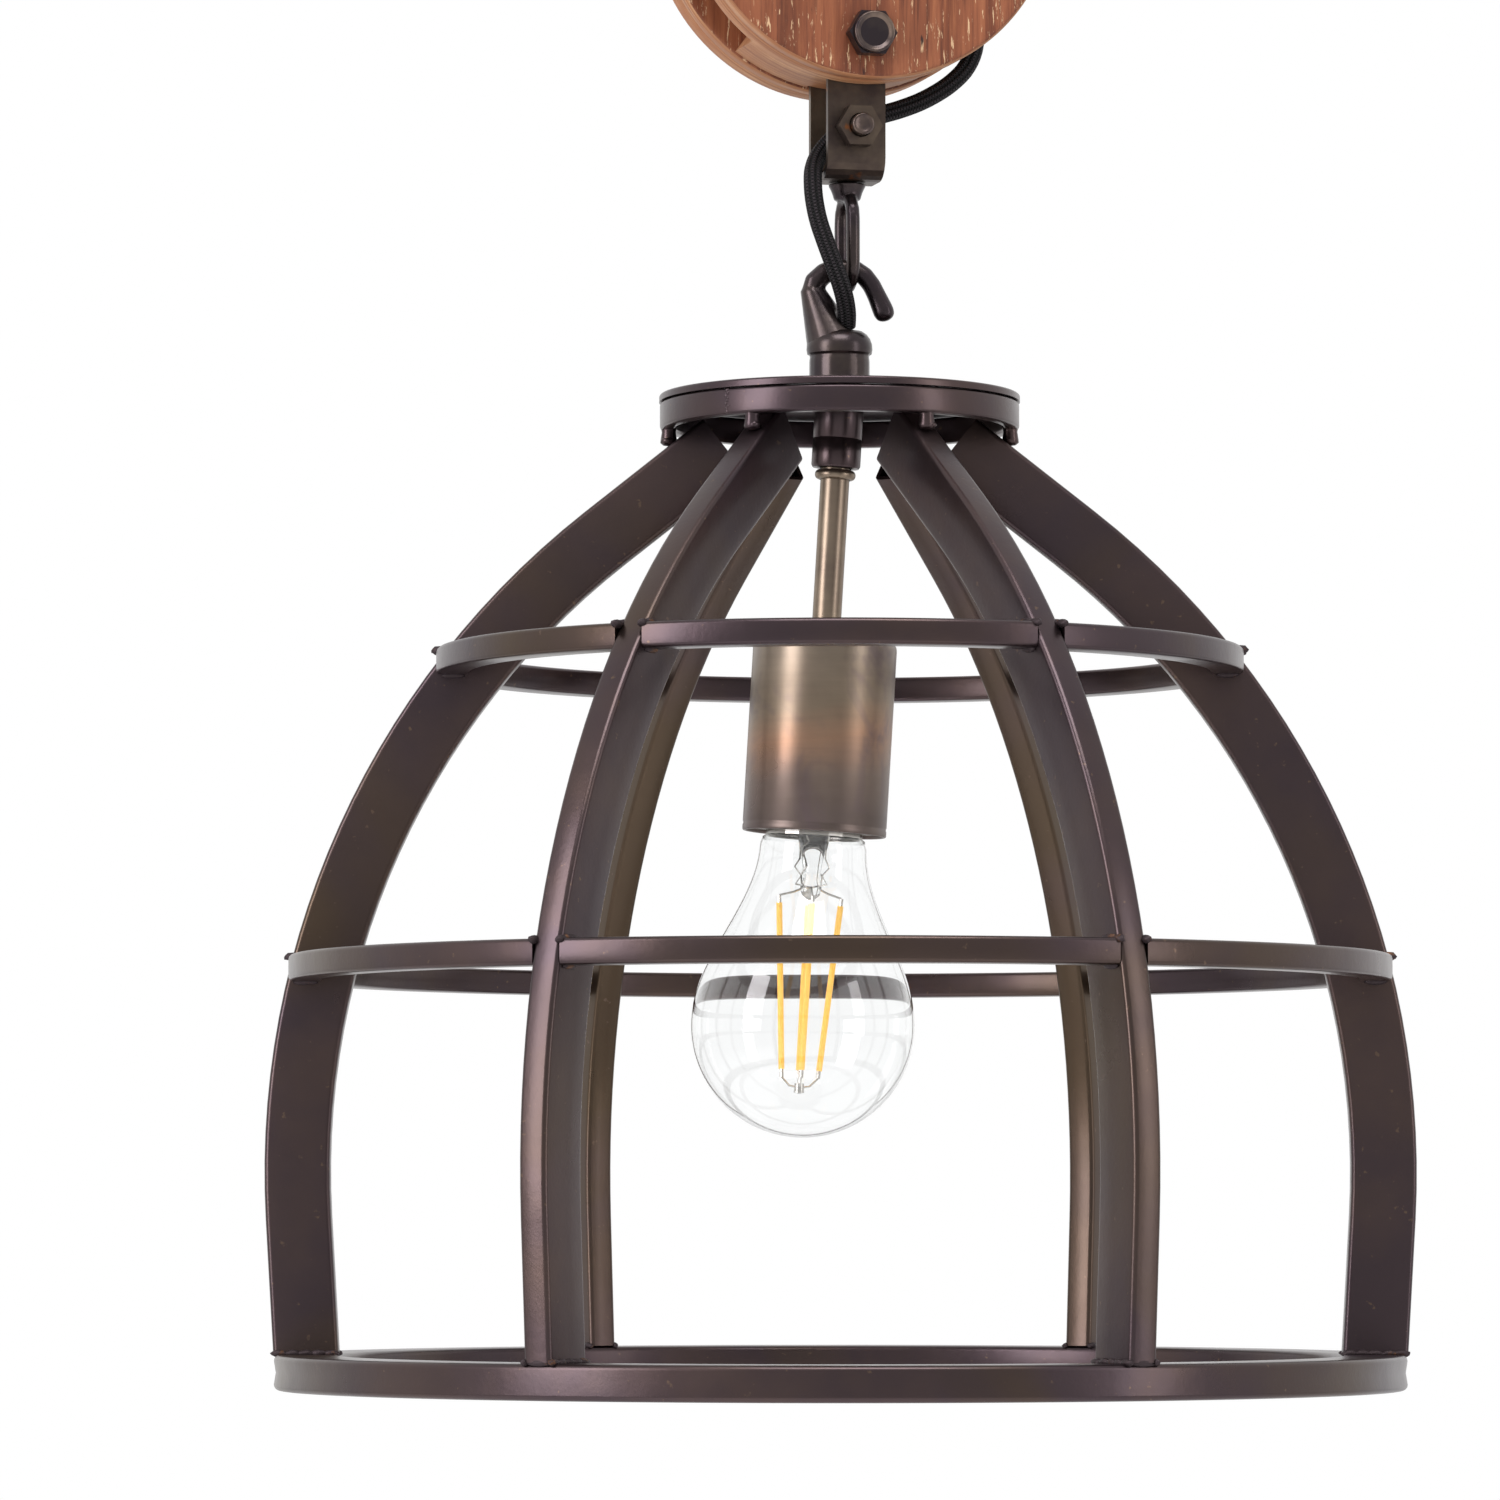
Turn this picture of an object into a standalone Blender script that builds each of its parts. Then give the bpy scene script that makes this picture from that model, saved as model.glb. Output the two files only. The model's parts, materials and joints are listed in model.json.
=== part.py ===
"""Cage pendant lamp on a wooden pulley block, hung from a ceiling rose by a hook, an eye and a cord.

The origin is the centre of the ceiling plane, +Z is up, and everything hangs in -Z.
Each moving group hangs under an empty on its joint: the block, the sheave, the lamp and the bulb.
"""

import math

import bmesh
import bpy
from mathutils import Matrix, Vector

MM = 0.001
GAP = 0.3 * MM                    # left between two pieces that touch
ROUND_STEPS = 16                  # sides of small round pieces

# Ceiling rose
CANOPY_RADIUS = 50 * MM
CANOPY_DEPTH = 40 * MM
CANOPY_WALL = 1.2 * MM
CANOPY_CORNER = 6 * MM
BRACKET_WIDTH = 20 * MM
BRACKET_THICKNESS = 2 * MM
BRACKET_LEG = 16 * MM
BRACKET_SLOT_AT = 26 * MM
SIDE_SCREW_DROP = 10 * MM
SIDE_SCREW_RADIUS = 1.6 * MM
TERMINAL_SIZE = (24 * MM, 15 * MM, 13 * MM)

# Ceiling hook
CEILING_ROD_RADIUS = 2.75 * MM
CEILING_BEND_RADIUS = 9 * MM
CEILING_SHANK = 10 * MM           # from the rose down to the top of the bend

# Eyes: the two forged loops under and over the straps
EYE_ROD_RADIUS = 2 * MM
EYE_HALF_WIDTH = 6.2 * MM         # centre of the loop to the centre of its rod
EYE_LOOP_HEIGHT = 24.2 * MM       # rod centre to rod centre
EYE_REACH = 104.6 * MM            # block centre to the outer end's rod centre
EYE_SHANK_RADIUS = 2.3 * MM
EYE_NECK = ((5.6, 0.0), (4.8, 1.0), (4.1, 2.6), (3.6, 4.6))   # radius and drop, in mm

# Wooden pulley block, turned BLOCK_YAW about the hanging line
BLOCK_YAW = math.radians(15)
BLOCK_RADIUS = 51 * MM
GROOVE_WIDTH = 20.8 * MM
CHEEK_THICKNESS = 12.6 * MM
WOOD_OFFSET = 1.5 * MM            # the wood sits this far to the right of the straps
WOOD_EDGE = 0.8 * MM
CHEEK_BOLT_DROP = 39.4 * MM
CHEEK_BOLT_RADIUS = 3 * MM
FILLER_INNER = 34.6 * MM
FILLER_HALF_ANGLE = math.radians(37)
FILLER_RADIUS = 50 * MM
SHEAVE_RADIUS = 33 * MM
SHEAVE_WIDTH = 19.2 * MM
SHEAVE_GROOVE_FLOOR = 29.6 * MM
SHEAVE_GROOVE_HALF = 3.4 * MM
BUSH_RADIUS = 6 * MM
AXLE_RADIUS = 4 * MM
WOOD_STEPS = 36

# Straps
STRAP_WIDTH = 16 * MM
STRAP_THICKNESS = 2 * MM
STRAP_OUTER = 20.2 * MM           # over both legs
STRAP_DROP = 76.3 * MM            # block centre to the strap's outer face
STRAP_LEG_TOP = 34.2 * MM         # block centre to the ends of the legs
STRAP_BEND = 5 * MM
STRAP_BOLT_DROP = 62.5 * MM
STRAP_BOLT_RADIUS = 3 * MM
HEX_ACROSS = 10.5 * MM
CHEEK_HEX_ACROSS = 11.5 * MM

# Lamp: heights are below the top plate's upper face, radii from the lamp's axis
LAMP_OFFSET = 2.1 * MM            # the axis hangs this far left of the eye
PIVOT_TO_PLATE = 29.3 * MM
PLATE_THICKNESS = 2 * MM
TOP_RING_RADIUS = 48.4 * MM
TOP_RING_WIDTH = 7 * MM
TOP_RING_HEIGHT = 9.3 * MM
UPPER_HOOP = (108.4 * MM, 68.8 * MM)      # outer radius, drop of its top
LOWER_HOOP = (147.6 * MM, 151.1 * MM)
HOOP_WIDTH = 11 * MM
HOOP_HEIGHT = 6.8 * MM
HOOP_CORNER = 0.8 * MM
HOOP_NOTCH = 5.2 * MM             # how far a hoop steps inside each rib's outer wall
BOTTOM_RING_RADIUS = 151 * MM
BOTTOM_RING_WIDTH = 17.5 * MM
BOTTOM_RING_HEIGHT = 9.3 * MM
BOTTOM_RING_DROP = 257.5 * MM
BOTTOM_RING_WALL = 1.2 * MM
BOTTOM_RING_HOLLOW = 0.5 * MM     # its outer face is sunk this much between the corners
RING_STEPS = 48

# Ribs: rectangular tube, a straight top run, one long bend and a straight foot
RIB_COUNT = 6
RIB_FIRST_ANGLE = 0.0
RIB_DEPTH = 17.5 * MM
RIB_WIDTH = 8 * MM
RIB_WALL = 1.2 * MM
RIB_CORNER = 1.4 * MM
RIB_BEND_RADIUS = 224.9 * MM
RIB_WIDEST = 154 * MM
RIB_WIDEST_DROP = 208.1 * MM
RIB_TOP_ANGLE = math.radians(51.7)
RIB_FOOT_ANGLE = math.radians(-3.4)
RIB_TOP_RUN = 40.3 * MM
RIB_BEND_STEPS = 9
WELD_RADIUS = 2.2 * MM
WELD_AT = 46 * MM

# Lamp hook: a turned base, a leaning cone and a bent arm with a round tip
HOOK_BASE = ((8.2, 0.3), (8.2, 10.0), (7.8, 10.3), (7.8, 10.7), (8.7, 11.2), (8.7, 12.0))   # mm
HOOK_CONE_BOTTOM = (8.6 * MM, 11.6 * MM)      # radius, height over the plate
HOOK_CONE_TOP = (3.6 * MM, 28.5 * MM)
HOOK_CONE_LEAN = 7 * MM
HOOK_ARM = (                                  # across, height over the plate, rod radius, in mm
    (-6.7, 25.5, 3.3), (-7.1, 28.2, 3.3), (-6.4, 30.9, 3.2), (-4.0, 33.2, 3.0), (-1.2, 34.2, 2.85),
    (1.6, 34.3, 2.8), (4.4, 33.9, 2.8), (6.8, 32.3, 2.7), (8.7, 29.8, 2.65), (10.1, 26.9, 2.7),
    (11.2, 24.4, 2.9), (12.0, 22.5, 3.0), (12.5, 21.2, 2.6), (12.7, 20.6, 1.9), (12.85, 20.2, 0.8),
)
NIPPLE_RADIUS = 4.6 * MM
NIPPLE_LENGTH = 9.5 * MM
HOOK_BORE = 2.9 * MM

# Stem, lampholder and bulb: heights are below the plate's underside, along the leaning stem
STEM_LEAN = math.radians(3.4)
COLLAR_RADIUS = 6.6 * MM
COLLAR_SPAN = (0.8 * MM, 17.9 * MM)
COLLAR_BORE = 5.35 * MM
LOCK_RING = (5.5 * MM, 18.2 * MM, 20.9 * MM)
STEM_RADIUS = 3.9 * MM
STEM_BORE = 2.9 * MM
STEM_SPAN = (11.5 * MM, 71 * MM)
COVER_RADIUS = 19.35 * MM
COVER_SPAN = (64 * MM, 116.5 * MM)
COVER_WALL = 0.9 * MM
COVER_CORNER = 2.2 * MM
SHELL_BORE = 13.6 * MM
CAP_RADIUS = 13 * MM
CAP_SPAN = (93.3 * MM, 117.6 * MM)
BULB_TIP = 198 * MM
BULB_RADIUS = 30 * MM
BULB_NECK = 14.8 * MM
GLASS_WALL = 0.7 * MM
FILAMENT_COUNT = 4
FILAMENT_RADIUS = 0.9 * MM
FILAMENT_SPAN = (133 * MM, 174 * MM)
FILAMENT_RING = (6.5 * MM, 4.0 * MM)          # distance from the axis at the top and at the bottom

# Cord
CORD_RADIUS = 2.5 * MM
CORD_STEP = 9 * MM
CORD_SIDES = 2                    # bevel resolution: eight sides
UPPER_CORD = (                    # from the cord grip to the sheave, in metres
    (0.0338, 0.0091, -0.0520), (0.0340, 0.0092, -0.0600), (0.0345, 0.0093, -0.0720),
    (0.0347, 0.0093, -0.0850), (0.0345, 0.0092, -0.0980), (0.0339, 0.0091, -0.1110),
    (0.0334, 0.0090, -0.1240), (0.0331, 0.0089, -0.1370), (0.0329, 0.0088, -0.1500),
    (0.0328, 0.0088, -0.1615), (0.0328, 0.0088, -0.1674),
)
LOWER_CORD = (                    # from the sheave, round the filler, through the strap to the hook
    (0.0328, 0.0088, -0.1678), (0.0330, 0.0088, -0.1760), (0.0336, 0.0090, -0.1850),
    (0.0343, 0.0092, -0.1930), (0.0349, 0.0094, -0.1990), (0.0345, 0.0093, -0.2058),
    (0.0323, 0.0087, -0.2111), (0.0288, 0.0077, -0.2150), (0.0247, 0.0066, -0.2181),
    (0.0196, 0.0052, -0.2210), (0.0140, 0.0037, -0.2233), (0.0094, 0.0023, -0.2248),
    (0.0048, 0.0008, -0.2264), (0.0003, -0.0010, -0.2288), (-0.0041, -0.0024, -0.2324),
    (-0.0075, -0.0046, -0.2369), (-0.0090, -0.0076, -0.2410), (-0.0092, -0.0102, -0.2453),
    (-0.0088, -0.0112, -0.2501), (-0.0077, -0.0113, -0.2555), (-0.0058, -0.0111, -0.2612),
    (-0.0037, -0.0104, -0.2669), (-0.0018, -0.0087, -0.2721), (-0.0006, -0.0063, -0.2763),
    (-0.0001, -0.0038, -0.2798), (-0.0002, -0.0016, -0.2827),
)

# Places that follow from the sizes above
HOOK_BOWL_Z = -(CANOPY_DEPTH + CEILING_SHANK + 2 * CEILING_BEND_RADIUS)
UPPER_EYE_Z = HOOK_BOWL_Z + CEILING_ROD_RADIUS + EYE_ROD_RADIUS + GAP
BLOCK_Z = UPPER_EYE_Z - EYE_REACH
LAMP_PIVOT_Z = BLOCK_Z - EYE_REACH
BLOCK_HALF = GROOVE_WIDTH / 2 + CHEEK_THICKNESS

MATERIALS = {                     # base colour, metallic, roughness
    "blackened_steel": ((0.035, 0.028, 0.027), 0.7, 0.38),
    "cast_iron_black": ((0.030, 0.027, 0.027), 0.6, 0.42),
    "strap_steel": ((0.085, 0.078, 0.066), 0.8, 0.42),
    "zinc_steel": ((0.42, 0.41, 0.39), 0.9, 0.4),
    "painted_wood": ((0.32, 0.13, 0.07), 0.0, 0.65),
    "sheave_wood": ((0.27, 0.10, 0.06), 0.0, 0.6),
    "brass": ((0.45, 0.33, 0.15), 1.0, 0.35),
    "antique_brass": ((0.33, 0.26, 0.19), 0.9, 0.36),
    "black_textile": ((0.015, 0.015, 0.018), 0.0, 0.9),
    "white_plastic": ((0.75, 0.75, 0.72), 0.0, 0.5),
    "black_plastic": ((0.02, 0.02, 0.02), 0.0, 0.45),
    "porcelain": ((0.62, 0.60, 0.55), 0.0, 0.35),
    "nickel": ((0.62, 0.60, 0.56), 1.0, 0.28),
    "clear_glass": ((0.95, 0.97, 0.97), 0.0, 0.04),
    "filament_yellow": ((0.95, 0.55, 0.08), 0.0, 0.5),
}


# ---------------------------------------------------------------- building blocks

def clear_scene():
    for obj in list(bpy.data.objects):
        bpy.data.objects.remove(obj)


def make_collection(name):
    collection = bpy.data.collections.new(name)
    bpy.context.scene.collection.children.link(collection)
    return collection


def make_material(name):
    colour, metallic, roughness = MATERIALS[name]
    material = bpy.data.materials.new(name)
    material.use_nodes = True
    shader = material.node_tree.nodes["Principled BSDF"]
    shader.inputs["Base Color"].default_value = (*colour, 1.0)
    shader.inputs["Metallic"].default_value = metallic
    shader.inputs["Roughness"].default_value = roughness
    return material


def empty(name, parent=None, location=(0, 0, 0), rotation=(0, 0, 0)):
    obj = bpy.data.objects.new(name, None)
    PARTS.objects.link(obj)
    obj.parent = parent
    obj.location = location
    obj.rotation_euler = rotation
    bpy.context.view_layer.update()
    return obj


def add(name, data, parent, location=(0, 0, 0), rotation=(0, 0, 0), cutter=False):
    obj = bpy.data.objects.new(name, data)
    (CUTTERS if cutter else PARTS).objects.link(obj)
    obj.parent = parent
    obj.location = location
    obj.rotation_euler = rotation
    if cutter:
        obj.hide_render = True
        obj.display_type = "WIRE"
    bpy.context.view_layer.update()
    return obj


def finish(obj, material, sharp_angle=35):
    obj.data.materials.clear()
    obj.data.materials.append(make_material(material))
    if obj.type == "MESH":
        obj.data.shade_smooth()
        obj.data.set_sharp_from_angle(angle=math.radians(sharp_angle))
    return obj


def turned(name, outline, parent, steps=ROUND_STEPS, closed=False, wall=0, **place):
    """A turned shape about its own Z. The outline is (radius, height) pairs, down the outer side.

    With a wall it is an open surface, thickened inwards.
    """
    mesh = bpy.data.meshes.new(name)
    edges = [(i, i + 1) for i in range(len(outline) - 1)]
    if closed:
        edges.append((len(outline) - 1, 0))
    mesh.from_pydata([(radius, 0, height) for radius, height in outline], edges, [])
    obj = add(name, mesh, parent, **place)
    screw = obj.modifiers.new("Turn", "SCREW")
    screw.axis = "Z"
    screw.angle = math.tau
    screw.steps = steps
    screw.render_steps = steps
    screw.use_normal_calculate = True
    screw.use_merge_vertices = True
    screw.merge_threshold = 0.00001
    screw.use_smooth_shade = True
    if not wall:
        return baked(obj)
    solid = obj.modifiers.new("Wall", "SOLIDIFY")
    solid.thickness = wall
    solid.offset = -1
    solid.use_even_offset = True
    return obj


def baked(obj):
    """The object's evaluated shape as a plain mesh object in its place, for curves and for turned pieces."""
    bpy.context.view_layer.update()
    evaluated = obj.evaluated_get(bpy.context.evaluated_depsgraph_get())
    mesh = bpy.data.meshes.new_from_object(evaluated)
    shape = bmesh.new()
    shape.from_mesh(mesh)
    bmesh.ops.remove_doubles(shape, verts=shape.verts, dist=0.000001)
    bmesh.ops.recalc_face_normals(shape, faces=shape.faces)
    shape.to_mesh(mesh)
    shape.free()
    name, parent, world = obj.name, obj.parent, obj.matrix_world.copy()
    collections = list(obj.users_collection)
    hidden, display = obj.hide_render, obj.display_type
    bpy.data.objects.remove(obj)
    result = bpy.data.objects.new(name, mesh)
    for collection in collections:
        collection.objects.link(result)
    result.parent = parent
    bpy.context.view_layer.update()
    result.matrix_world = world
    result.hide_render, result.display_type = hidden, display
    return result


def curve_data(name, points, cyclic=False, radii=None):
    data = bpy.data.curves.new(name, "CURVE")
    data.dimensions = "3D"
    spline = data.splines.new("POLY")
    spline.points.add(len(points) - 1)
    for i, point in enumerate(points):
        spline.points[i].co = (*point, 1)
        if radii:
            spline.points[i].radius = radii[i]
    spline.use_cyclic_u = cyclic
    return data


def rod(name, points, radius, parent, resolution=2, cyclic=False, radii=None, **place):
    """A round rod along the points; radii, where given, are shares of its radius."""
    data = curve_data(name, points, cyclic, radii)
    data.bevel_depth = radius
    data.bevel_resolution = resolution
    data.use_fill_caps = not cyclic
    return add(name, data, parent, **place)


def bent_strip(name, path, width, thickness, parent, **place):
    """Flat bar bent along a path in its own XZ plane; the path is the bar's middle."""
    data = curve_data(name, [(x, z, 0) for x, z in path])
    data.dimensions = "2D"
    data.extrude = width / 2
    obj = add(name, data, parent, **place)
    obj.rotation_euler = Matrix.Rotation(math.pi / 2, 3, "X").to_euler()
    obj = baked(obj)
    solid = obj.modifiers.new("Thickness", "SOLIDIFY")
    solid.thickness = thickness
    solid.offset = 0
    solid.use_even_offset = True
    return obj


def flat_plate(name, outline, thickness, parent, **place):
    """A flat outline in its own XZ plane with half the thickness each side."""
    data = curve_data(name, [(x, z, 0) for x, z in outline], cyclic=True)
    data.dimensions = "2D"
    data.fill_mode = "BOTH"
    data.extrude = thickness / 2
    obj = add(name, data, parent, **place)
    obj.rotation_euler = Matrix.Rotation(math.pi / 2, 3, "X").to_euler()
    return baked(obj)


def prism(name, sides, radius, length, parent, axis="Z", cutter=False, centre=(0, 0, 0), top_radius=None):
    """A cylinder or hexagon bar centred on a point, along one of its own axes."""
    shape = bmesh.new()
    bmesh.ops.create_cone(
        shape, cap_ends=True, segments=sides, radius1=radius,
        radius2=radius if top_radius is None else top_radius, depth=length,
    )
    bmesh.ops.rotate(shape, verts=shape.verts, matrix=Matrix.Rotation(math.pi / 2, 3, "Z"))
    turn = {"X": ("Y", math.pi / 2), "Y": ("X", -math.pi / 2), "Z": ("Z", 0)}[axis]
    bmesh.ops.rotate(shape, verts=shape.verts, matrix=Matrix.Rotation(turn[1], 3, turn[0]))
    bmesh.ops.translate(shape, verts=shape.verts, vec=centre)
    mesh = bpy.data.meshes.new(name)
    shape.to_mesh(mesh)
    shape.free()
    return add(name, mesh, parent, cutter=cutter)


def box(name, size, parent, centre=(0, 0, 0), cutter=False, **place):
    shape = bmesh.new()
    bmesh.ops.create_cube(shape, size=1)
    bmesh.ops.scale(shape, verts=shape.verts, vec=size)
    bmesh.ops.translate(shape, verts=shape.verts, vec=centre)
    mesh = bpy.data.meshes.new(name)
    shape.to_mesh(mesh)
    shape.free()
    return add(name, mesh, parent, cutter=cutter, **place)


def boolean(obj, other, operation="DIFFERENCE"):
    modifier = obj.modifiers.new(operation.title(), "BOOLEAN")
    modifier.operation = operation
    modifier.object = other
    modifier.solver = "EXACT"
    return obj


def arc(centre, radius, start, end, steps):
    """Points on a circle, from one angle to another."""
    angles = [start + (end - start) * i / steps for i in range(steps + 1)]
    return [(centre[0] + radius * math.cos(a), centre[1] + radius * math.sin(a)) for a in angles]


def rounded_rectangle(left, right, bottom, top, corner):
    """Clockwise from the upper right corner, each corner cut by one short side."""
    return [
        (right - corner, top), (right, top - corner), (right, bottom + corner), (right - corner, bottom),
        (left + corner, bottom), (left, bottom + corner), (left, top - corner), (left + corner, top),
    ]


def smooth_route(points, step):
    """Even steps along the Catmull-Rom curve through the points."""
    knots = [Vector(p) for p in points]
    knots = [2 * knots[0] - knots[1]] + knots + [2 * knots[-1] - knots[-2]]
    fine = []
    for i in range(1, len(knots) - 2):
        before, start, end, after = knots[i - 1:i + 3]
        for k in range(12):
            t = k / 12
            fine.append(0.5 * (
                2 * start + (end - before) * t
                + (2 * before - 5 * start + 4 * end - after) * t ** 2
                + (3 * start - before - 3 * end + after) * t ** 3
            ))
    fine.append(knots[-2])
    lengths = [0.0]
    for a, b in zip(fine, fine[1:]):
        lengths.append(lengths[-1] + (b - a).length)
    count = max(2, round(lengths[-1] / step))
    route = []
    k = 0
    for i in range(count + 1):
        target = lengths[-1] * i / count
        while k < len(fine) - 2 and lengths[k + 1] < target:
            k += 1
        share = (target - lengths[k]) / (lengths[k + 1] - lengths[k])
        route.append(fine[k].lerp(fine[k + 1], min(1.0, share)))
    return route


def hex_bolt(name, across, head, radius, length, parent, seat, direction, material, crown=0.0):
    """A hexagon bolt: its head stands on the seat, and its shank runs back along -direction (an own Y)."""
    seat = Vector(seat)
    way = Vector((0, direction, 0))
    bolt = prism(name, 6, across / math.sqrt(3), head, parent, axis="Y", centre=seat + way * head / 2)
    shank = prism(f"{name}_shank", 16, radius, length + 0.5 * MM, parent, axis="Y", cutter=True,
                  centre=seat - way * (length - 0.5 * MM) / 2)
    boolean(bolt, shank, "UNION")
    if crown:
        top = prism(f"{name}_crown", 20, across * 0.47, crown + 0.5 * MM, parent, axis="Y", cutter=True,
                    centre=seat + way * (head + (crown - 0.5 * MM) / 2))
        boolean(bolt, top, "UNION")
    return finish(bolt, material)


def hex_nut(name, across, height, radius, parent, seat, way, material):
    """A hexagon nut that stands on the seat, along one of its parent's axes, with a plain hole."""
    axis = "Y" if way[1] else "Z"
    middle = Vector(seat) + Vector(way) * height / 2
    nut = prism(name, 6, across / math.sqrt(3), height, parent, axis=axis, centre=middle)
    hole = prism(f"{name}_hole", 16, radius, height * 2, parent, axis=axis, cutter=True, centre=middle)
    boolean(nut, hole)
    return finish(nut, material)


# ---------------------------------------------------------------- ceiling rose and hook

def build_canopy(root):
    corner_centre = (CANOPY_RADIUS - CANOPY_CORNER, -CANOPY_DEPTH + CANOPY_CORNER)
    outline = [(CANOPY_RADIUS, 0)] + arc(corner_centre, CANOPY_CORNER, 0, -math.pi / 2, 4)
    outline.append((CEILING_ROD_RADIUS + GAP, -CANOPY_DEPTH))
    canopy = turned("canopy", outline, root, steps=24, wall=CANOPY_WALL)
    grip = grip_place()
    boolean(canopy, prism("grip_hole", 24, 5.3 * MM, 10 * MM, root, cutter=True,
                          centre=(grip.x, grip.y, -CANOPY_DEPTH)))
    boolean(canopy, prism("side_screw_holes", 16, SIDE_SCREW_RADIUS + GAP, 3 * CANOPY_RADIUS, root, axis="X",
                          cutter=True, centre=(0, 0, -SIDE_SCREW_DROP)))
    finish(canopy, "blackened_steel")


def grip_place():
    """The cord leaves the rose right above its fall beside the sheave."""
    return Vector(UPPER_CORD[0])


def build_bracket(root):
    half = CANOPY_RADIUS - CANOPY_WALL - 2.5 * MM
    middle = -BRACKET_THICKNESS / 2
    path = [(-half, -BRACKET_LEG), (-half, middle), (half, middle), (half, -BRACKET_LEG)]
    bracket = bent_strip("mounting_bracket", path, BRACKET_WIDTH, BRACKET_THICKNESS, root)
    for side in (-1, 1):
        slot = box(f"bracket_slot_{side + 2}", (16 * MM, 4.5 * MM, 10 * MM), root, cutter=True,
                   centre=(side * BRACKET_SLOT_AT, 0, 0))
        boolean(bracket, slot)
    boolean(bracket, prism("bracket_screw_holes", 16, SIDE_SCREW_RADIUS + GAP, 3 * half, root, axis="X",
                           cutter=True, centre=(0, 0, -SIDE_SCREW_DROP)))
    finish(bracket, "zinc_steel")


def build_side_screws(root):
    """Two pan-head screws, through the rose's wall into the bracket's legs."""
    head = 2 * MM
    inner = CANOPY_RADIUS - 8 * MM
    length = CANOPY_RADIUS + GAP - inner
    for i in (1, 2):
        side = empty(f"canopy_side_{i}", root, rotation=(0, 0, math.pi * i))
        screw = prism(f"canopy_screw_{i}", 16, 3.4 * MM, head, side, axis="X", top_radius=2.6 * MM,
                      centre=(CANOPY_RADIUS + GAP + head / 2, 0, -SIDE_SCREW_DROP))
        shank = prism(f"canopy_screw_shank_{i}", 12, SIDE_SCREW_RADIUS, length + 0.5 * MM, side, axis="X",
                      cutter=True, centre=(inner + (length + 0.5 * MM) / 2, 0, -SIDE_SCREW_DROP))
        boolean(screw, shank, "UNION")
        finish(screw, "zinc_steel")


def build_terminal_block(root):
    width, depth, height = TERMINAL_SIZE
    top = -BRACKET_THICKNESS - GAP
    place = (0, 0, top - height / 2)
    block = box("terminal_block", TERMINAL_SIZE, root, centre=place)
    pitch = width / 3
    for i in (-1, 0, 1):
        boolean(block, prism(f"terminal_screw_well_{i + 2}", 10, 2 * MM, 8 * MM, root, cutter=True,
                             centre=(i * pitch, 0, top - height)))
        boolean(block, prism(f"terminal_wire_hole_{i + 2}", 10, 1.8 * MM, 2 * depth, root, axis="Y",
                             cutter=True, centre=(i * pitch, 0, top - height * 0.35)))
    finish(block, "white_plastic")


def build_cord_grip(root):
    grip = grip_place()
    bore = CORD_RADIUS + 0.4 * MM
    bottom = grip.z + 1.5 * MM
    outline = [
        (5.0 * MM, -CANOPY_DEPTH + 7 * MM), (5.0 * MM, -CANOPY_DEPTH - GAP), (7.2 * MM, -CANOPY_DEPTH - GAP),
        (7.2 * MM, bottom + 4.5 * MM), (5.6 * MM, bottom), (bore, bottom), (bore, -CANOPY_DEPTH + 7 * MM),
    ]
    finish(turned("cord_grip", outline, root, closed=True, location=(grip.x, grip.y, 0)), "black_plastic")
    floor = -CANOPY_DEPTH + CANOPY_WALL + GAP
    hex_nut("cord_grip_nut", 13 * MM, 4 * MM, 5.3 * MM, root, (grip.x, grip.y, floor), (0, 0, 1), "black_plastic")


def build_ceiling_lead(root):
    """The cord's end inside the rose, from the grip up to the terminal block."""
    grip = grip_place()
    route = smooth_route([
        (grip.x, grip.y, grip.z + GAP), (grip.x, grip.y, -0.043), (grip.x, grip.y, -0.033),
        (0.031, 0.013, -0.025), (0.024, 0.017, -0.019), (0.016, 0.0175, -0.014), (0.008, 0.015, -0.0105),
        (0.001, 0.0115, -0.0092),
    ], CORD_STEP / 2)
    finish(rod("ceiling_lead", route, CORD_RADIUS, root, resolution=CORD_SIDES), "black_textile")


def build_ceiling_hook(yawed_root):
    """A screw hook: a straight shank, then a bend round the bowl's centre, open at the right."""
    bowl = HOOK_BOWL_Z + CEILING_BEND_RADIUS
    points = [(0, bowl + 27 * MM), (0, bowl + 16 * MM), (-0.5 * MM, bowl + 13.2 * MM), (-2.6 * MM, bowl + 10.6 * MM)]
    points += arc((0, bowl), CEILING_BEND_RADIUS, math.radians(128), math.radians(392), 22)
    hook = rod("ceiling_hook", [(x, 0, z) for x, z in points], CEILING_ROD_RADIUS, yawed_root, resolution=2)
    finish(hook, "cast_iron_black")
    floor = -CANOPY_DEPTH + CANOPY_WALL + GAP
    hex_nut("ceiling_hook_nut", 10 * MM, 5 * MM, CEILING_ROD_RADIUS + GAP, yawed_root, (0, 0, floor),
            (0, 0, 1), "zinc_steel")
    under = -CANOPY_DEPTH - GAP
    collar_outline = [(6.5 * MM, under), (7.5 * MM, under - 1 * MM), (7.5 * MM, under - 2 * MM),
                      (6 * MM, under - 3 * MM), (CEILING_ROD_RADIUS + GAP, under - 3 * MM),
                      (CEILING_ROD_RADIUS + GAP, under)]
    finish(turned("ceiling_hook_collar", collar_outline, yawed_root, closed=True), "cast_iron_black")


# ---------------------------------------------------------------- pulley block

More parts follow.
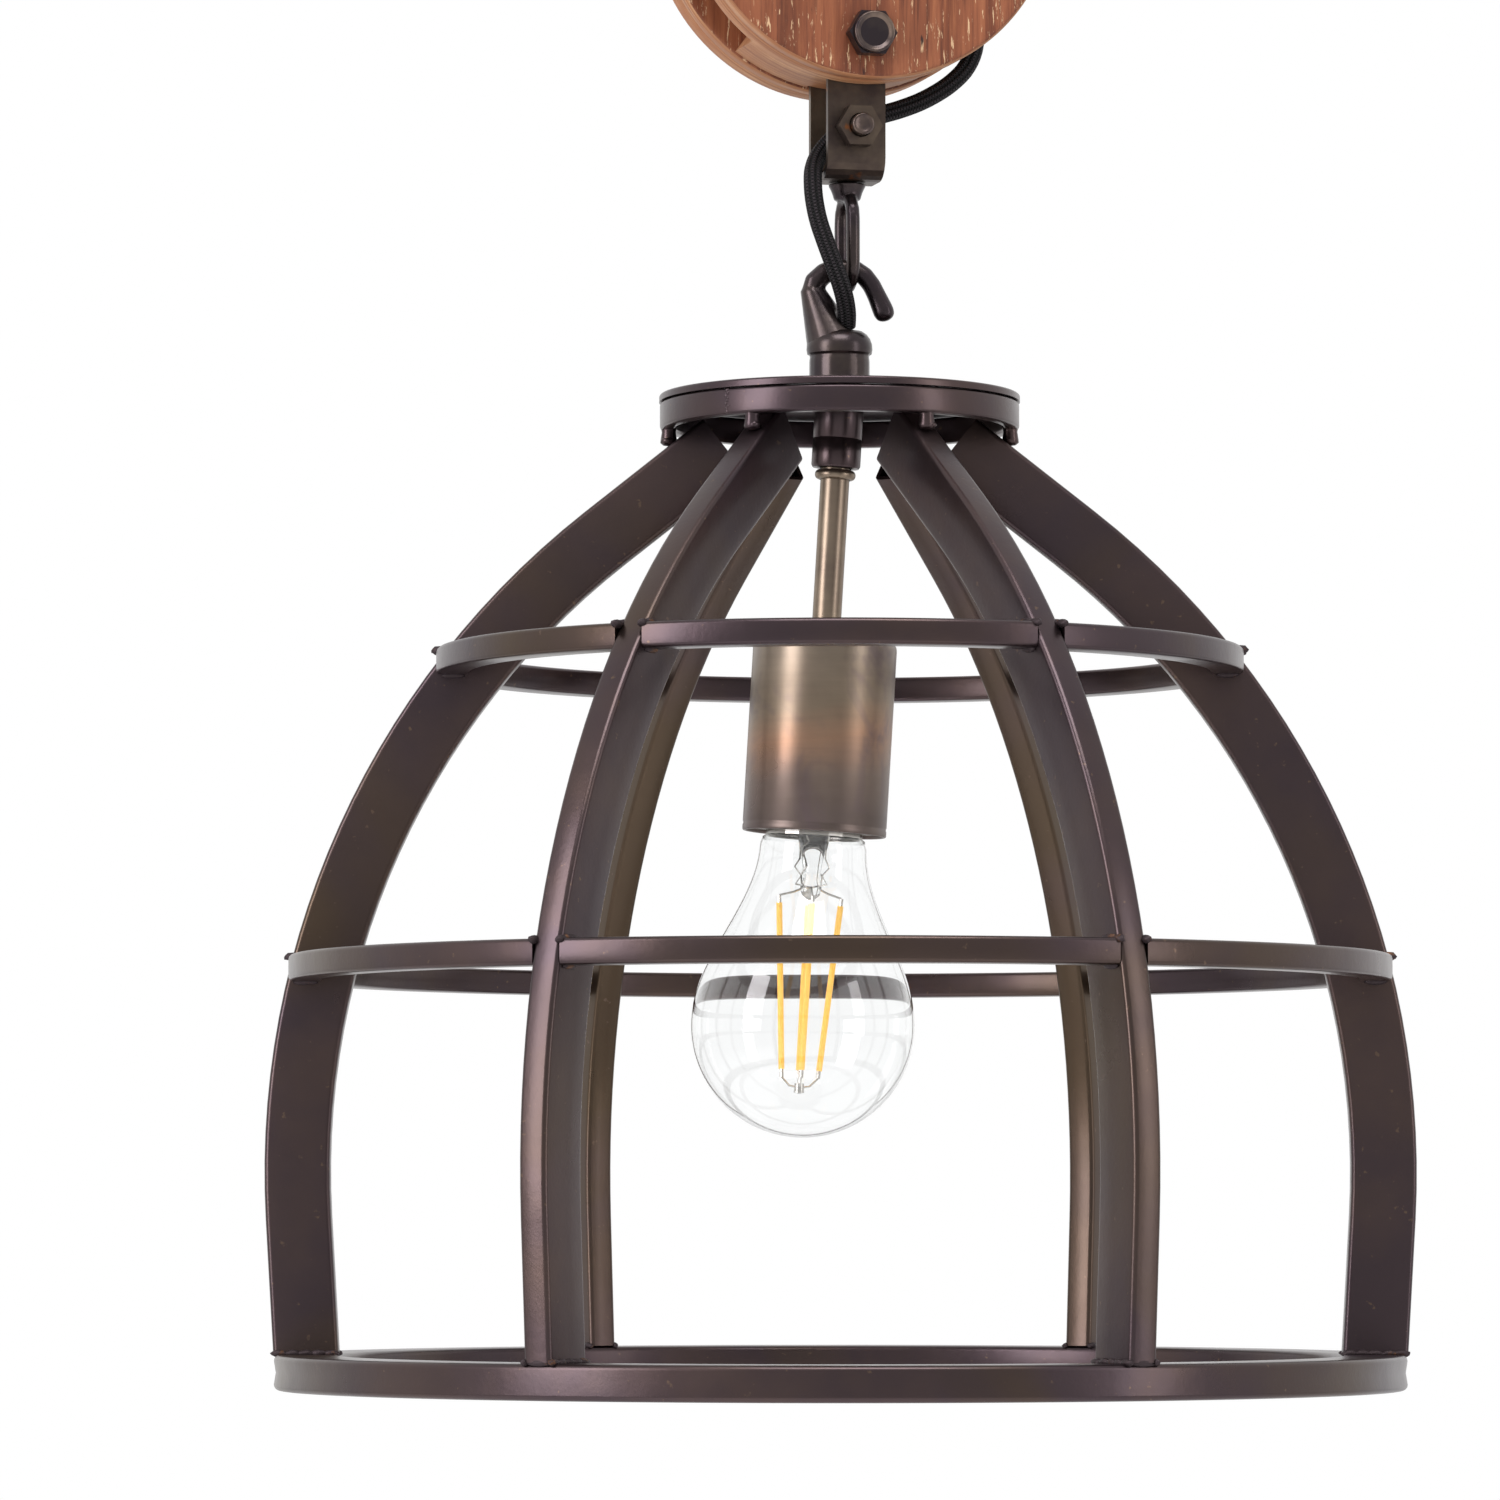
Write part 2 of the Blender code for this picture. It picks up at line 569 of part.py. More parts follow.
def build_eye(name, half):
    """An oval loop with a flared neck under the strap and a riveted head inside it."""
    bottom = -EYE_REACH
    low = bottom + EYE_HALF_WIDTH
    high = bottom + EYE_LOOP_HEIGHT - EYE_HALF_WIDTH
    loop = arc((0, low), EYE_HALF_WIDTH, -math.pi, 0, 7) + arc((0, high), EYE_HALF_WIDTH, 0, math.pi, 7)
    eye = rod(name, [(0, y, z) for y, z in loop], EYE_ROD_RADIUS, half, resolution=2, cyclic=True)
    eye = baked(eye)
    seat = -STRAP_DROP - GAP
    inside = -STRAP_DROP + STRAP_THICKNESS + GAP
    outline = [(0, inside + 2 * MM), (3.2 * MM, inside + 1.6 * MM), (4.2 * MM, inside),
               (EYE_SHANK_RADIUS, inside), (EYE_SHANK_RADIUS, seat)]
    outline += [(radius * MM, seat - drop * MM) for radius, drop in EYE_NECK]
    outline.append((0, seat - EYE_NECK[-1][1] * MM))
    neck = turned(f"{name}_neck", outline, half, cutter=True)
    boolean(eye, neck, "UNION")
    finish(eye, "cast_iron_black", 50)


def build_strap(name, half):
    mid = STRAP_OUTER / 2 - STRAP_THICKNESS / 2
    bottom = -STRAP_DROP + STRAP_THICKNESS / 2
    path = [(-mid, -STRAP_LEG_TOP)]
    path += arc((-mid + STRAP_BEND, bottom + STRAP_BEND), STRAP_BEND, math.pi, 1.5 * math.pi, 5)
    path += arc((mid - STRAP_BEND, bottom + STRAP_BEND), STRAP_BEND, -math.pi / 2, 0, 5)
    path.append((mid, -STRAP_LEG_TOP))
    turned_frame = empty(f"{name}_frame", half, rotation=(0, 0, math.pi / 2))
    strap = bent_strip(name, path, STRAP_WIDTH, STRAP_THICKNESS, turned_frame)
    boolean(strap, prism(f"{name}_cheek_bolt_hole", 20, CHEEK_BOLT_RADIUS + GAP, 2 * STRAP_OUTER, half,
                         axis="Y", cutter=True, centre=(0, 0, -CHEEK_BOLT_DROP)))
    boolean(strap, prism(f"{name}_bolt_hole", 20, STRAP_BOLT_RADIUS + GAP, STRAP_OUTER, half,
                         axis="Y", cutter=True, centre=(0, -STRAP_OUTER / 2, -STRAP_BOLT_DROP)))
    boolean(strap, prism(f"{name}_eye_hole", 16, EYE_SHANK_RADIUS + GAP, 6 * STRAP_THICKNESS, half,
                         cutter=True, centre=(0, 0, -STRAP_DROP)))
    finish(strap, "strap_steel")


def build_strap_bolt(name, half):
    """A short bolt in the front leg, head inside and nut outside: the cord passes behind its head."""
    head = 3.6 * MM
    nut = 4.2 * MM
    outside = STRAP_OUTER / 2 + GAP
    inside = STRAP_OUTER / 2 - STRAP_THICKNESS - GAP
    reach = outside - inside + nut + 2.2 * MM
    hex_bolt(f"{name}_bolt", HEX_ACROSS, head, STRAP_BOLT_RADIUS, reach, half,
             (0, -inside, -STRAP_BOLT_DROP), 1, "strap_steel")
    hex_nut(f"{name}_nut", HEX_ACROSS, nut, STRAP_BOLT_RADIUS + GAP, half,
            (0, -outside, -STRAP_BOLT_DROP), (0, -1, 0), "strap_steel")


def build_filler(name, half, shift):
    """A wooden sector between the cheeks, slotted for the strap's legs."""
    low = -math.pi / 2 - FILLER_HALF_ANGLE
    high = -math.pi / 2 + FILLER_HALF_ANGLE
    outline = arc((0, 0), FILLER_RADIUS, low, high, 16) + arc((0, 0), FILLER_INNER, high, low, 10)
    width = GROOVE_WIDTH - 2 * GAP
    filler = flat_plate(name, outline, width, half, location=(shift, 0, 0))
    leg_depth = STRAP_THICKNESS + GAP
    for side in (-1, 1):
        leg_slot = box(f"{name}_leg_slot_{side + 2}",
                       (STRAP_WIDTH + 1.2 * MM, leg_depth * 2, 3 * FILLER_INNER), half,
                       centre=(0, side * width / 2, -BLOCK_RADIUS), cutter=True)
        boolean(filler, leg_slot)
    boolean(filler, prism(f"{name}_bolt_hole", 20, CHEEK_BOLT_RADIUS + GAP, 2 * width, half, axis="Y",
                          cutter=True, centre=(0, 0, -CHEEK_BOLT_DROP)))
    finish(filler, "painted_wood")


def build_half(side, block, flip):
    """The strap, eye, filler and bolts of one half; the upper half is the lower one turned over."""
    half = empty(f"{side}_half", block, rotation=(0, math.pi if flip else 0, 0))
    build_strap(f"{side}_strap", half)
    build_eye(f"{side}_eye", half)
    build_strap_bolt(f"{side}_strap", half)
    build_filler(f"{side}_filler", half, -WOOD_OFFSET if flip else WOOD_OFFSET)
    build_cheek_bolt(f"{side}_cheek", half)


def build_cheek(name, block, side):
    """A turned wooden disc with the axle's hole, and one hole for each cheek bolt."""
    half = CHEEK_THICKNESS / 2
    hole = AXLE_RADIUS + GAP
    outline = [
        (BLOCK_RADIUS - WOOD_EDGE, half), (BLOCK_RADIUS, half - WOOD_EDGE), (BLOCK_RADIUS, WOOD_EDGE - half),
        (BLOCK_RADIUS - WOOD_EDGE, -half), (hole, -half), (hole, half),
    ]
    middle = side * (GROOVE_WIDTH + CHEEK_THICKNESS) / 2
    cheek = turned(name, outline, block, steps=WOOD_STEPS, closed=True,
                   location=(WOOD_OFFSET, middle, 0), rotation=(math.pi / 2, 0, 0))
    for end in (-1, 1):
        boolean(cheek, prism(f"{name}_bolt_hole_{end + 2}", 20, CHEEK_BOLT_RADIUS + GAP, 2 * BLOCK_HALF, block,
                             axis="Y", cutter=True, centre=(0, middle, end * CHEEK_BOLT_DROP)))
    finish(cheek, "painted_wood")


def build_cheek_bolt(name, half):
    """The bolt through both cheeks, the filler and the strap's legs."""
    nut = 4.6 * MM
    face = BLOCK_HALF + GAP
    hex_bolt(f"{name}_bolt", CHEEK_HEX_ACROSS, 4.2 * MM, CHEEK_BOLT_RADIUS, 2 * face + nut + 2 * MM, half,
             (0, -face, -CHEEK_BOLT_DROP), -1, "cast_iron_black", crown=0.8 * MM)
    hex_nut(f"{name}_nut", CHEEK_HEX_ACROSS, nut, CHEEK_BOLT_RADIUS + GAP, half,
            (0, face, -CHEEK_BOLT_DROP), (0, 1, 0), "cast_iron_black")


def build_axle_bolt(block):
    nut = 6 * MM
    across = 14 * MM
    face = BLOCK_HALF + GAP
    hex_bolt("axle_bolt", across, 5.2 * MM, AXLE_RADIUS, 2 * face + nut + 2.5 * MM, block,
             (WOOD_OFFSET, -face, 0), -1, "cast_iron_black", crown=0.8 * MM)
    hex_nut("axle_nut", across, nut, AXLE_RADIUS + GAP, block,
            (WOOD_OFFSET, face, 0), (0, 1, 0), "cast_iron_black")


def build_sheave(axle):
    """A grooved wooden wheel on a brass bush, turning on the axle bolt."""
    half = SHEAVE_WIDTH / 2
    groove = [(SHEAVE_RADIUS, SHEAVE_GROOVE_HALF + 1.5 * MM)]
    groove += [(SHEAVE_GROOVE_FLOOR + SHEAVE_GROOVE_HALF * (1 - math.cos(a)), -SHEAVE_GROOVE_HALF * math.sin(a))
               for a in [math.radians(k) for k in (-60, -30, 0, 30, 60)]]
    groove.append((SHEAVE_RADIUS, -SHEAVE_GROOVE_HALF - 1.5 * MM))
    bore = BUSH_RADIUS + GAP
    outline = [(SHEAVE_RADIUS - WOOD_EDGE, half), (SHEAVE_RADIUS, half - WOOD_EDGE)] + groove
    outline += [(SHEAVE_RADIUS, WOOD_EDGE - half), (SHEAVE_RADIUS - WOOD_EDGE, -half), (bore, -half), (bore, half)]
    sheave = turned("sheave", outline, axle, steps=24, closed=True, rotation=(math.pi / 2, 0, 0))
    finish(sheave, "sheave_wood")
    long = (GROOVE_WIDTH - 2 * GAP) / 2
    inner = AXLE_RADIUS + GAP
    bush_outline = [(BUSH_RADIUS, long), (BUSH_RADIUS, -long), (inner, -long), (inner, long)]
    bush = turned("sheave_bush", bush_outline, axle, closed=True, rotation=(math.pi / 2, 0, 0))
    finish(bush, "brass")


# ---------------------------------------------------------------- cage

def rib_face_path():
    """The rib's outer face as (radius, height): foot, long bend and straight top run."""
    centre = (RIB_WIDEST - RIB_BEND_RADIUS, -RIB_WIDEST_DROP)
    bend = arc(centre, RIB_BEND_RADIUS, RIB_FOOT_ANGLE, RIB_TOP_ANGLE, RIB_BEND_STEPS)
    ring_top = -BOTTOM_RING_DROP
    foot_drop = bend[0][1] - (ring_top + GAP)
    foot = (bend[0][0] + foot_drop * math.tan(RIB_FOOT_ANGLE), ring_top + GAP)
    top_way = (-math.sin(RIB_TOP_ANGLE), math.cos(RIB_TOP_ANGLE))
    top = (bend[-1][0] + top_way[0] * RIB_TOP_RUN, bend[-1][1] + top_way[1] * RIB_TOP_RUN)
    return [foot] + bend + [top]


def rib_middle_path():
    """The centre line of the tube, half its depth inside the outer face."""
    face = rib_face_path()
    count = len(face)
    angles = [RIB_FOOT_ANGLE]
    angles += [RIB_FOOT_ANGLE + (RIB_TOP_ANGLE - RIB_FOOT_ANGLE) * i / RIB_BEND_STEPS
               for i in range(RIB_BEND_STEPS + 1)]
    angles.append(RIB_TOP_ANGLE)
    half = RIB_DEPTH / 2
    return [(face[i][0] - half * math.cos(angles[i]), face[i][1] - half * math.sin(angles[i]))
            for i in range(count)]


def rib_mesh(lamp):
    """One rib as a swept rectangular tube, in the plane of its own XZ."""
    profile = add("rib_profile", curve_data("rib_profile", [
        (x, y, 0) for x, y in rounded_rectangle(-RIB_DEPTH / 2, RIB_DEPTH / 2, -RIB_WIDTH / 2, RIB_WIDTH / 2,
                                                 RIB_CORNER)], cyclic=True), lamp, cutter=True)
    data = curve_data("rib_sweep", [(x, z, 0) for x, z in rib_middle_path()])
    data.dimensions = "2D"
    data.bevel_mode = "OBJECT"
    data.bevel_object = profile
    sweep = add("rib_sweep", data, None)
    sweep.rotation_euler = Matrix.Rotation(math.pi / 2, 3, "X").to_euler()
    sweep = baked(sweep)
    mesh = sweep.data
    mesh.transform(sweep.matrix_world)
    bpy.data.objects.remove(sweep)
    bpy.data.objects.remove(profile)
    return mesh


def build_ribs(lamp):
    mesh = rib_mesh(lamp)
    for i in range(RIB_COUNT):
        angle = RIB_FIRST_ANGLE + math.tau * i / RIB_COUNT
        rib = add(f"rib_{i + 1}", mesh.copy(), lamp, rotation=(0, 0, angle))
        wall = rib.modifiers.new("Wall", "SOLIDIFY")
        wall.thickness = RIB_WALL
        wall.offset = -1
        wall.use_even_offset = True
        for k, (radius, drop) in enumerate((UPPER_HOOP, LOWER_HOOP)):
            tongue = HOOP_WIDTH - HOOP_NOTCH
            window = (tongue + 2 * GAP, 2 * RIB_WIDTH, HOOP_HEIGHT + 2 * GAP)
            centre = (radius - HOOP_NOTCH - tongue / 2, 0, -drop - HOOP_HEIGHT / 2)
            boolean(rib, box(f"rib_{i + 1}_window_{k + 1}", window, rib, centre=centre, cutter=True))
        finish(rib, "blackened_steel")


def build_hoop(name, size, lamp):
    """A flat-bar ring, notched outside at each rib: a tongue goes on through the rib's side windows."""
    radius, drop = size
    outline = rounded_rectangle(radius - HOOP_WIDTH, radius, -drop - HOOP_HEIGHT, -drop, HOOP_CORNER)
    hoop = turned(name, outline, lamp, steps=RING_STEPS, closed=True)
    depth = 2 * HOOP_NOTCH
    for i in range(RIB_COUNT):
        angle = RIB_FIRST_ANGLE + math.tau * i / RIB_COUNT
        notch = box(f"{name}_notch_{i + 1}", (depth, RIB_WIDTH + 2 * GAP, 3 * HOOP_HEIGHT), lamp,
                    centre=(radius - HOOP_NOTCH + depth / 2, 0, -drop - HOOP_HEIGHT / 2), cutter=True,
                    rotation=(0, 0, angle))
        boolean(hoop, notch)
    finish(hoop, "blackened_steel")


def build_bottom_ring(lamp):
    """Rectangular tube on its side: hollow, with a vent hole inside, its outer face a little sunk."""
    outer = BOTTOM_RING_RADIUS
    inner = outer - BOTTOM_RING_WIDTH
    top = -BOTTOM_RING_DROP
    bottom = top - BOTTOM_RING_HEIGHT
    outline = rounded_rectangle(inner, outer, bottom, top, RIB_CORNER)
    outline.insert(2, (outer - BOTTOM_RING_HOLLOW, (top + bottom) / 2))
    ring = turned("bottom_ring", outline, lamp, steps=RING_STEPS, closed=True)
    wall = BOTTOM_RING_WALL
    bore_outer = outer - wall - BOTTOM_RING_HOLLOW
    bore = [(bore_outer, top - wall), (bore_outer, bottom + wall), (inner + wall, bottom + wall),
            (inner + wall, top - wall)]
    hollow = turned("bottom_ring_bore", bore, lamp, steps=RING_STEPS, closed=True, cutter=True)
    boolean(ring, hollow)
    vent = prism("bottom_ring_vent", 10, 2 * MM, 8 * MM, lamp, axis="Y", cutter=True,
                 centre=(0, inner, (top + bottom) / 2))
    boolean(ring, vent)
    finish(ring, "blackened_steel")


def weld_pegs(lamp):
    """Six stubs of weld under the top ring, each ending just over its rib's sloping outer face."""
    face = rib_face_path()
    slope = (face[-1][1] - face[-2][1]) / (face[-1][0] - face[-2][0])
    shape = bmesh.new()
    bmesh.ops.create_cone(shape, cap_ends=True, segments=12, radius1=WELD_RADIUS, radius2=WELD_RADIUS, depth=1)
    for vertex in shape.verts:
        if vertex.co.z > 0:
            height = -TOP_RING_HEIGHT + WELD_RADIUS / 2
        else:
            height = face[-1][1] + (WELD_AT + vertex.co.x - face[-1][0]) * slope + 2 * GAP
        vertex.co = (WELD_AT + vertex.co.x, vertex.co.y, height)
    pieces = shape.verts[:] + shape.edges[:] + shape.faces[:]
    for i in range(1, RIB_COUNT):
        copy = bmesh.ops.duplicate(shape, geom=pieces)["geom"]
        copied = [piece for piece in copy if isinstance(piece, bmesh.types.BMVert)]
        bmesh.ops.rotate(shape, verts=copied, matrix=Matrix.Rotation(math.tau * i / RIB_COUNT, 3, "Z"))
    mesh = bpy.data.meshes.new("weld_pegs")
    shape.to_mesh(mesh)
    shape.free()
    return add("weld_pegs", mesh, lamp, rotation=(0, 0, RIB_FIRST_ANGLE), cutter=True)


def build_top_ring(lamp):
    """The short ring that the ribs are welded under, with its weld stubs."""
    inner = TOP_RING_RADIUS - TOP_RING_WIDTH
    outline = rounded_rectangle(inner, TOP_RING_RADIUS, -TOP_RING_HEIGHT, -PLATE_THICKNESS - GAP, HOOP_CORNER)
    ring = turned("top_ring", outline, lamp, steps=30, closed=True)
    boolean(ring, weld_pegs(lamp), "UNION")
    finish(ring, "blackened_steel")


def build_top_plate(lamp):
    hole = NIPPLE_RADIUS + GAP
    edge = TOP_RING_RADIUS + 0.3 * MM
    soft = 0.4 * MM
    plate = [(edge - soft, 0), (edge, -soft), (edge, -PLATE_THICKNESS), (hole, -PLATE_THICKNESS), (hole, 0)]
    finish(turned("top_plate", plate, lamp, steps=30, closed=True), "blackened_steel")


# ---------------------------------------------------------------- lamp hook, stem, lampholder, bulb

def build_lamp_hook(lamp):
    base = [(0, HOOK_BASE[-1][1] * MM)] + [(r * MM, z * MM) for r, z in reversed(HOOK_BASE)]
    base += [(NIPPLE_RADIUS, HOOK_BASE[0][1] * MM), (NIPPLE_RADIUS, -NIPPLE_LENGTH), (0, -NIPPLE_LENGTH)]
    hook = turned("lamp_hook", base, lamp, steps=20)
    low_radius, low = HOOK_CONE_BOTTOM
    high_radius, high = HOOK_CONE_TOP
    cone = prism("hook_cone", 18, low_radius, high - low, lamp, cutter=True, centre=(0, 0, (low + high) / 2),
                 top_radius=high_radius)
    for vertex in cone.data.vertices:
        if vertex.co.z > (low + high) / 2:
            vertex.co.x -= HOOK_CONE_LEAN
    boolean(hook, cone, "UNION")
    thickest = HOOK_ARM[0][2] * MM
    arm = rod("hook_arm", [(x * MM, 0, z * MM) for x, z, _ in HOOK_ARM], thickest, lamp, resolution=3,
              radii=[radius * MM / thickest for _, _, radius in HOOK_ARM], cutter=True)
    boolean(hook, baked(arm), "UNION")
    bore = prism("hook_bore", 16, HOOK_BORE, 30 * MM, lamp, cutter=True, centre=(0, 0, -8 * MM))
    boolean(hook, bore)
    boolean(hook, cord_mouth(lamp))
    finish(hook, "cast_iron_black", 40)


def cord_mouth(lamp):
    """The slanted hole in the hook's shoulder, in line with the cord's last stretch."""
    end = Vector(LOWER_CORD[-1])
    way = (Vector(LOWER_CORD[-2]) - end).normalized()
    start = end - way * 7 * MM
    stop = end + way * 12 * MM
    mouth = prism("hook_cord_mouth", 20, CORD_RADIUS + 0.5 * MM, (stop - start).length, None, cutter=True)
    mouth.rotation_euler = way.to_track_quat("Z", "Y").to_euler()
    mouth.location = (start + stop) / 2
    bpy.context.view_layer.update()
    world = mouth.matrix_world.copy()
    mouth.parent = lamp
    mouth.matrix_parent_inverse = lamp.matrix_world.inverted()
    mouth.matrix_world = world
    return mouth


def build_stem(stem):
    top, bottom = COLLAR_SPAN
    step = top + 10.4 * MM
    tube_bore = STEM_RADIUS + GAP
    collar = [(COLLAR_RADIUS, -top), (COLLAR_RADIUS, -bottom + 0.5 * MM), (COLLAR_RADIUS - 0.5 * MM, -bottom),
              (tube_bore, -bottom), (tube_bore, -step), (COLLAR_BORE, -step), (COLLAR_BORE, -top)]
    finish(turned("stem_collar", collar, stem, steps=20, closed=True), "blackened_steel")
    radius, top, bottom = LOCK_RING
    soft = 0.8 * MM
    ring = rounded_rectangle(tube_bore, radius, -bottom, -top, soft * 0.7)
    finish(turned("stem_lock_ring", ring, stem, closed=True), "antique_brass")
    top, bottom = STEM_SPAN
    tube = [(STEM_RADIUS, -top), (STEM_RADIUS, -bottom), (STEM_BORE, -bottom), (STEM_BORE, -top)]
    finish(turned("stem_tube", tube, stem, closed=True), "antique_brass")
    wires = rod("lampholder_wires", [(0, 0, -13 * MM), (0, 0, -50 * MM), (0, 0, -88 * MM)], 2 * MM, stem)
    finish(wires, "white_plastic")


def build_lampholder(stem):
    top, bottom = COVER_SPAN
    hole = STEM_RADIUS + GAP
    corner = (COVER_RADIUS - COVER_CORNER, -top - COVER_CORNER)
    outline = [(hole, -top)] + arc(corner, COVER_CORNER, math.pi / 2, 0, 4) + [(COVER_RADIUS, -bottom)]
    finish(turned("socket_cover", outline, stem, steps=24, wall=COVER_WALL), "antique_brass")
    outer = COVER_RADIUS - COVER_WALL - GAP
    cavity = SHELL_BORE + 1 * MM
    roof = -CAP_SPAN[0] + 3.6 * MM
    body_top = -top - COVER_WALL - COVER_CORNER
    wire_hole = 3.2 * MM
    body = [(outer, body_top), (outer, -bottom + 1 * MM), (cavity, -bottom + 1 * MM), (cavity, roof),
            (wire_hole, roof), (wire_hole, -STEM_SPAN[1] - 2 * MM), (hole, -STEM_SPAN[1] - 2 * MM), (hole, body_top)]
    finish(turned("lampholder_body", body, stem, steps=20, closed=True), "porcelain")
    shell_top = roof - 1.5 * MM
    shell_bottom = -bottom + 3 * MM
    shell = [(cavity - GAP, shell_top), (cavity - GAP, shell_bottom), (SHELL_BORE, shell_bottom),
             (SHELL_BORE, shell_top)]
    finish(turned("thread_shell", shell, stem, steps=20, closed=True), "brass")
    contact = [(0, roof - GAP), (5 * MM, roof - GAP), (5 * MM, roof - 1 * MM), (2.4 * MM, roof - 1.2 * MM),
               (2 * MM, roof - 3 * MM), (0, roof - 3.2 * MM)]
    finish(turned("centre_contact", contact, stem, steps=16), "brass")


def bulb_outline():
    """The glass as (radius, height) down its outer side: neck, flare, then the round end."""
    neck_top = -CAP_SPAN[1] + 13 * MM
    shoulder = -CAP_SPAN[1] - GAP
    outline = [(12.1 * MM, neck_top), (12.1 * MM, shoulder)]
    widest = -BULB_TIP + BULB_RADIUS
    flare_top = shoulder - 2 * MM
    mean = (BULB_RADIUS + BULB_NECK) / 2
    swing = (BULB_RADIUS - BULB_NECK) / 2
    steps = 6
    for i in range(steps):
        share = i / steps
        outline.append((mean - swing * math.cos(math.pi * share), flare_top + (widest - flare_top) * share))
    outline += arc((0, widest), BULB_RADIUS, 0, -math.pi / 2, 6)[:-1]
    outline.append((0, -BULB_TIP))
    return outline


def build_bulb(bulb):
    top, bottom = CAP_SPAN
    skirt = 0.5 * MM
    cap = [(0, -top), (4.4 * MM, -top), (4.9 * MM, -top - 1.4 * MM), (9.5 * MM, -top - 4 * MM),
           (CAP_RADIUS, -top - 5.5 * MM), (CAP_RADIUS, -bottom), (CAP_RADIUS - skirt, -bottom),
           (CAP_RADIUS - skirt, -top - 7 * MM), (0, -top - 7 * MM)]
    finish(turned("bulb_cap", cap, bulb, steps=20), "nickel")
    finish(turned("bulb_glass", bulb_outline(), bulb, steps=16, wall=GLASS_WALL), "clear_glass")
    base = -bottom + 4 * MM
    mount = [(0, base), (9.5 * MM, base), (9.2 * MM, base - 1.5 * MM), (5.0 * MM, base - 7 * MM),
             (3.2 * MM, base - 12 * MM), (2.6 * MM, base - 17 * MM), (3.0 * MM, base - 19 * MM),
             (0, base - 20 * MM)]
    finish(turned("glass_mount", mount, bulb), "clear_glass")
    build_filaments(bulb)


def build_filaments(bulb):
    """One filament folded into four straight legs, closer together at the bottom, on its supports."""
    top, bottom = FILAMENT_SPAN
    top_ring, bottom_ring = FILAMENT_RING
    points = []
    for i in range(FILAMENT_COUNT):
        angle = math.tau * (i + 0.5) / FILAMENT_COUNT
        leg = [(top_ring * math.cos(angle), top_ring * math.sin(angle), -top),
               (bottom_ring * math.cos(angle), bottom_ring * math.sin(angle), -bottom)]
        points += leg if i % 2 == 0 else leg[::-1]
    finish(rod("filaments", points, FILAMENT_RADIUS, bulb, resolution=1), "filament_yellow")


# ---------------------------------------------------------------- cord

def build_cords():
    for name, points in (("cord_upper", UPPER_CORD), ("cord_lower", LOWER_CORD)):
        route = smooth_route(points, CORD_STEP)
        finish(rod(name, route, CORD_RADIUS, None, resolution=CORD_SIDES), "black_textile")


def build():
    root = empty("ceiling_plane")
    build_canopy(root)
    build_bracket(root)
    build_side_screws(root)
    build_terminal_block(root)
    build_cord_grip(root)
    build_ceiling_lead(root)
    build_ceiling_hook(empty("hook_plane", root, rotation=(0, 0, BLOCK_YAW)))

    block_pivot = empty("block_pivot", root, (0, 0, HOOK_BOWL_Z), (0, 0, BLOCK_YAW))
    block = empty("block_centre", block_pivot, (0, 0, BLOCK_Z - HOOK_BOWL_Z))
    build_half("lower", block, flip=False)
    build_half("upper", block, flip=True)
    build_cheek("front_cheek", block, -1)
    build_cheek("back_cheek", block, 1)
    build_axle_bolt(block)
    build_sheave(empty("sheave_axle", block, (WOOD_OFFSET, 0, 0)))

    lamp_pivot = empty("lamp_pivot", None, (0, 0, LAMP_PIVOT_Z))
    lamp = empty("lamp_axis", lamp_pivot, (-LAMP_OFFSET, 0, -PIVOT_TO_PLATE))
    build_ribs(lamp)
    build_hoop("upper_hoop", UPPER_HOOP, lamp)
    build_hoop("lower_hoop", LOWER_HOOP, lamp)
    build_bottom_ring(lamp)
    build_top_ring(lamp)
    build_top_plate(lamp)
    build_lamp_hook(lamp)
    stem = empty("stem_axis", lamp, (0, 0, -PLATE_THICKNESS), (0, STEM_LEAN, 0))
    build_stem(stem)
    build_lampholder(stem)
    build_bulb(empty("bulb_axis", stem))

    build_cords()


clear_scene()
PARTS = make_collection("cage_pendant_lamp")
CUTTERS = make_collection("cutters")
build()
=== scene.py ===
"""Looks for the cage pendant lamp: smooth pieces, worn materials, soft light and the camera."""

import json
import math

import bmesh
import bpy
from mathutils import Matrix, Vector, noise


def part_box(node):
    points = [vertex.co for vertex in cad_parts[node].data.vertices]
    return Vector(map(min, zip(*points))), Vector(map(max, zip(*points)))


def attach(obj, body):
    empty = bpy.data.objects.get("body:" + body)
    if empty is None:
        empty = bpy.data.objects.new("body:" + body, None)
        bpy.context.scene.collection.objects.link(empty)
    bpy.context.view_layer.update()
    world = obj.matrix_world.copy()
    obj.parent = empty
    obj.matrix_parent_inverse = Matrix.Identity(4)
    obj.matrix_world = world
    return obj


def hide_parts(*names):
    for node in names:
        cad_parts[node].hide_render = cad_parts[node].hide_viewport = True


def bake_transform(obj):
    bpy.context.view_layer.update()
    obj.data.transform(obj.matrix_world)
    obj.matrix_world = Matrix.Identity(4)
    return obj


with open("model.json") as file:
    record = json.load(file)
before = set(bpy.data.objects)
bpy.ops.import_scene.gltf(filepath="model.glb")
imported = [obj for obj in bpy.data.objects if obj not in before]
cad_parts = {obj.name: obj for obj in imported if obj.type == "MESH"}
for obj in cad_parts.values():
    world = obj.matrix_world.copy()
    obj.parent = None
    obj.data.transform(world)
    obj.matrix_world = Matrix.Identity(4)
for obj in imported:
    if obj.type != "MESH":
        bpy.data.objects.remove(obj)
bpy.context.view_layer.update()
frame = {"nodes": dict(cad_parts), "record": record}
NODES = frame["nodes"]
MM = 0.001


# ---------------------------------------------------------------- places read from the frame

def middle(node):
    low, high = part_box(node)
    return (Vector(low) + Vector(high)) / 2


def size_of(node):
    low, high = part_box(node)
    return Vector(high) - Vector(low)


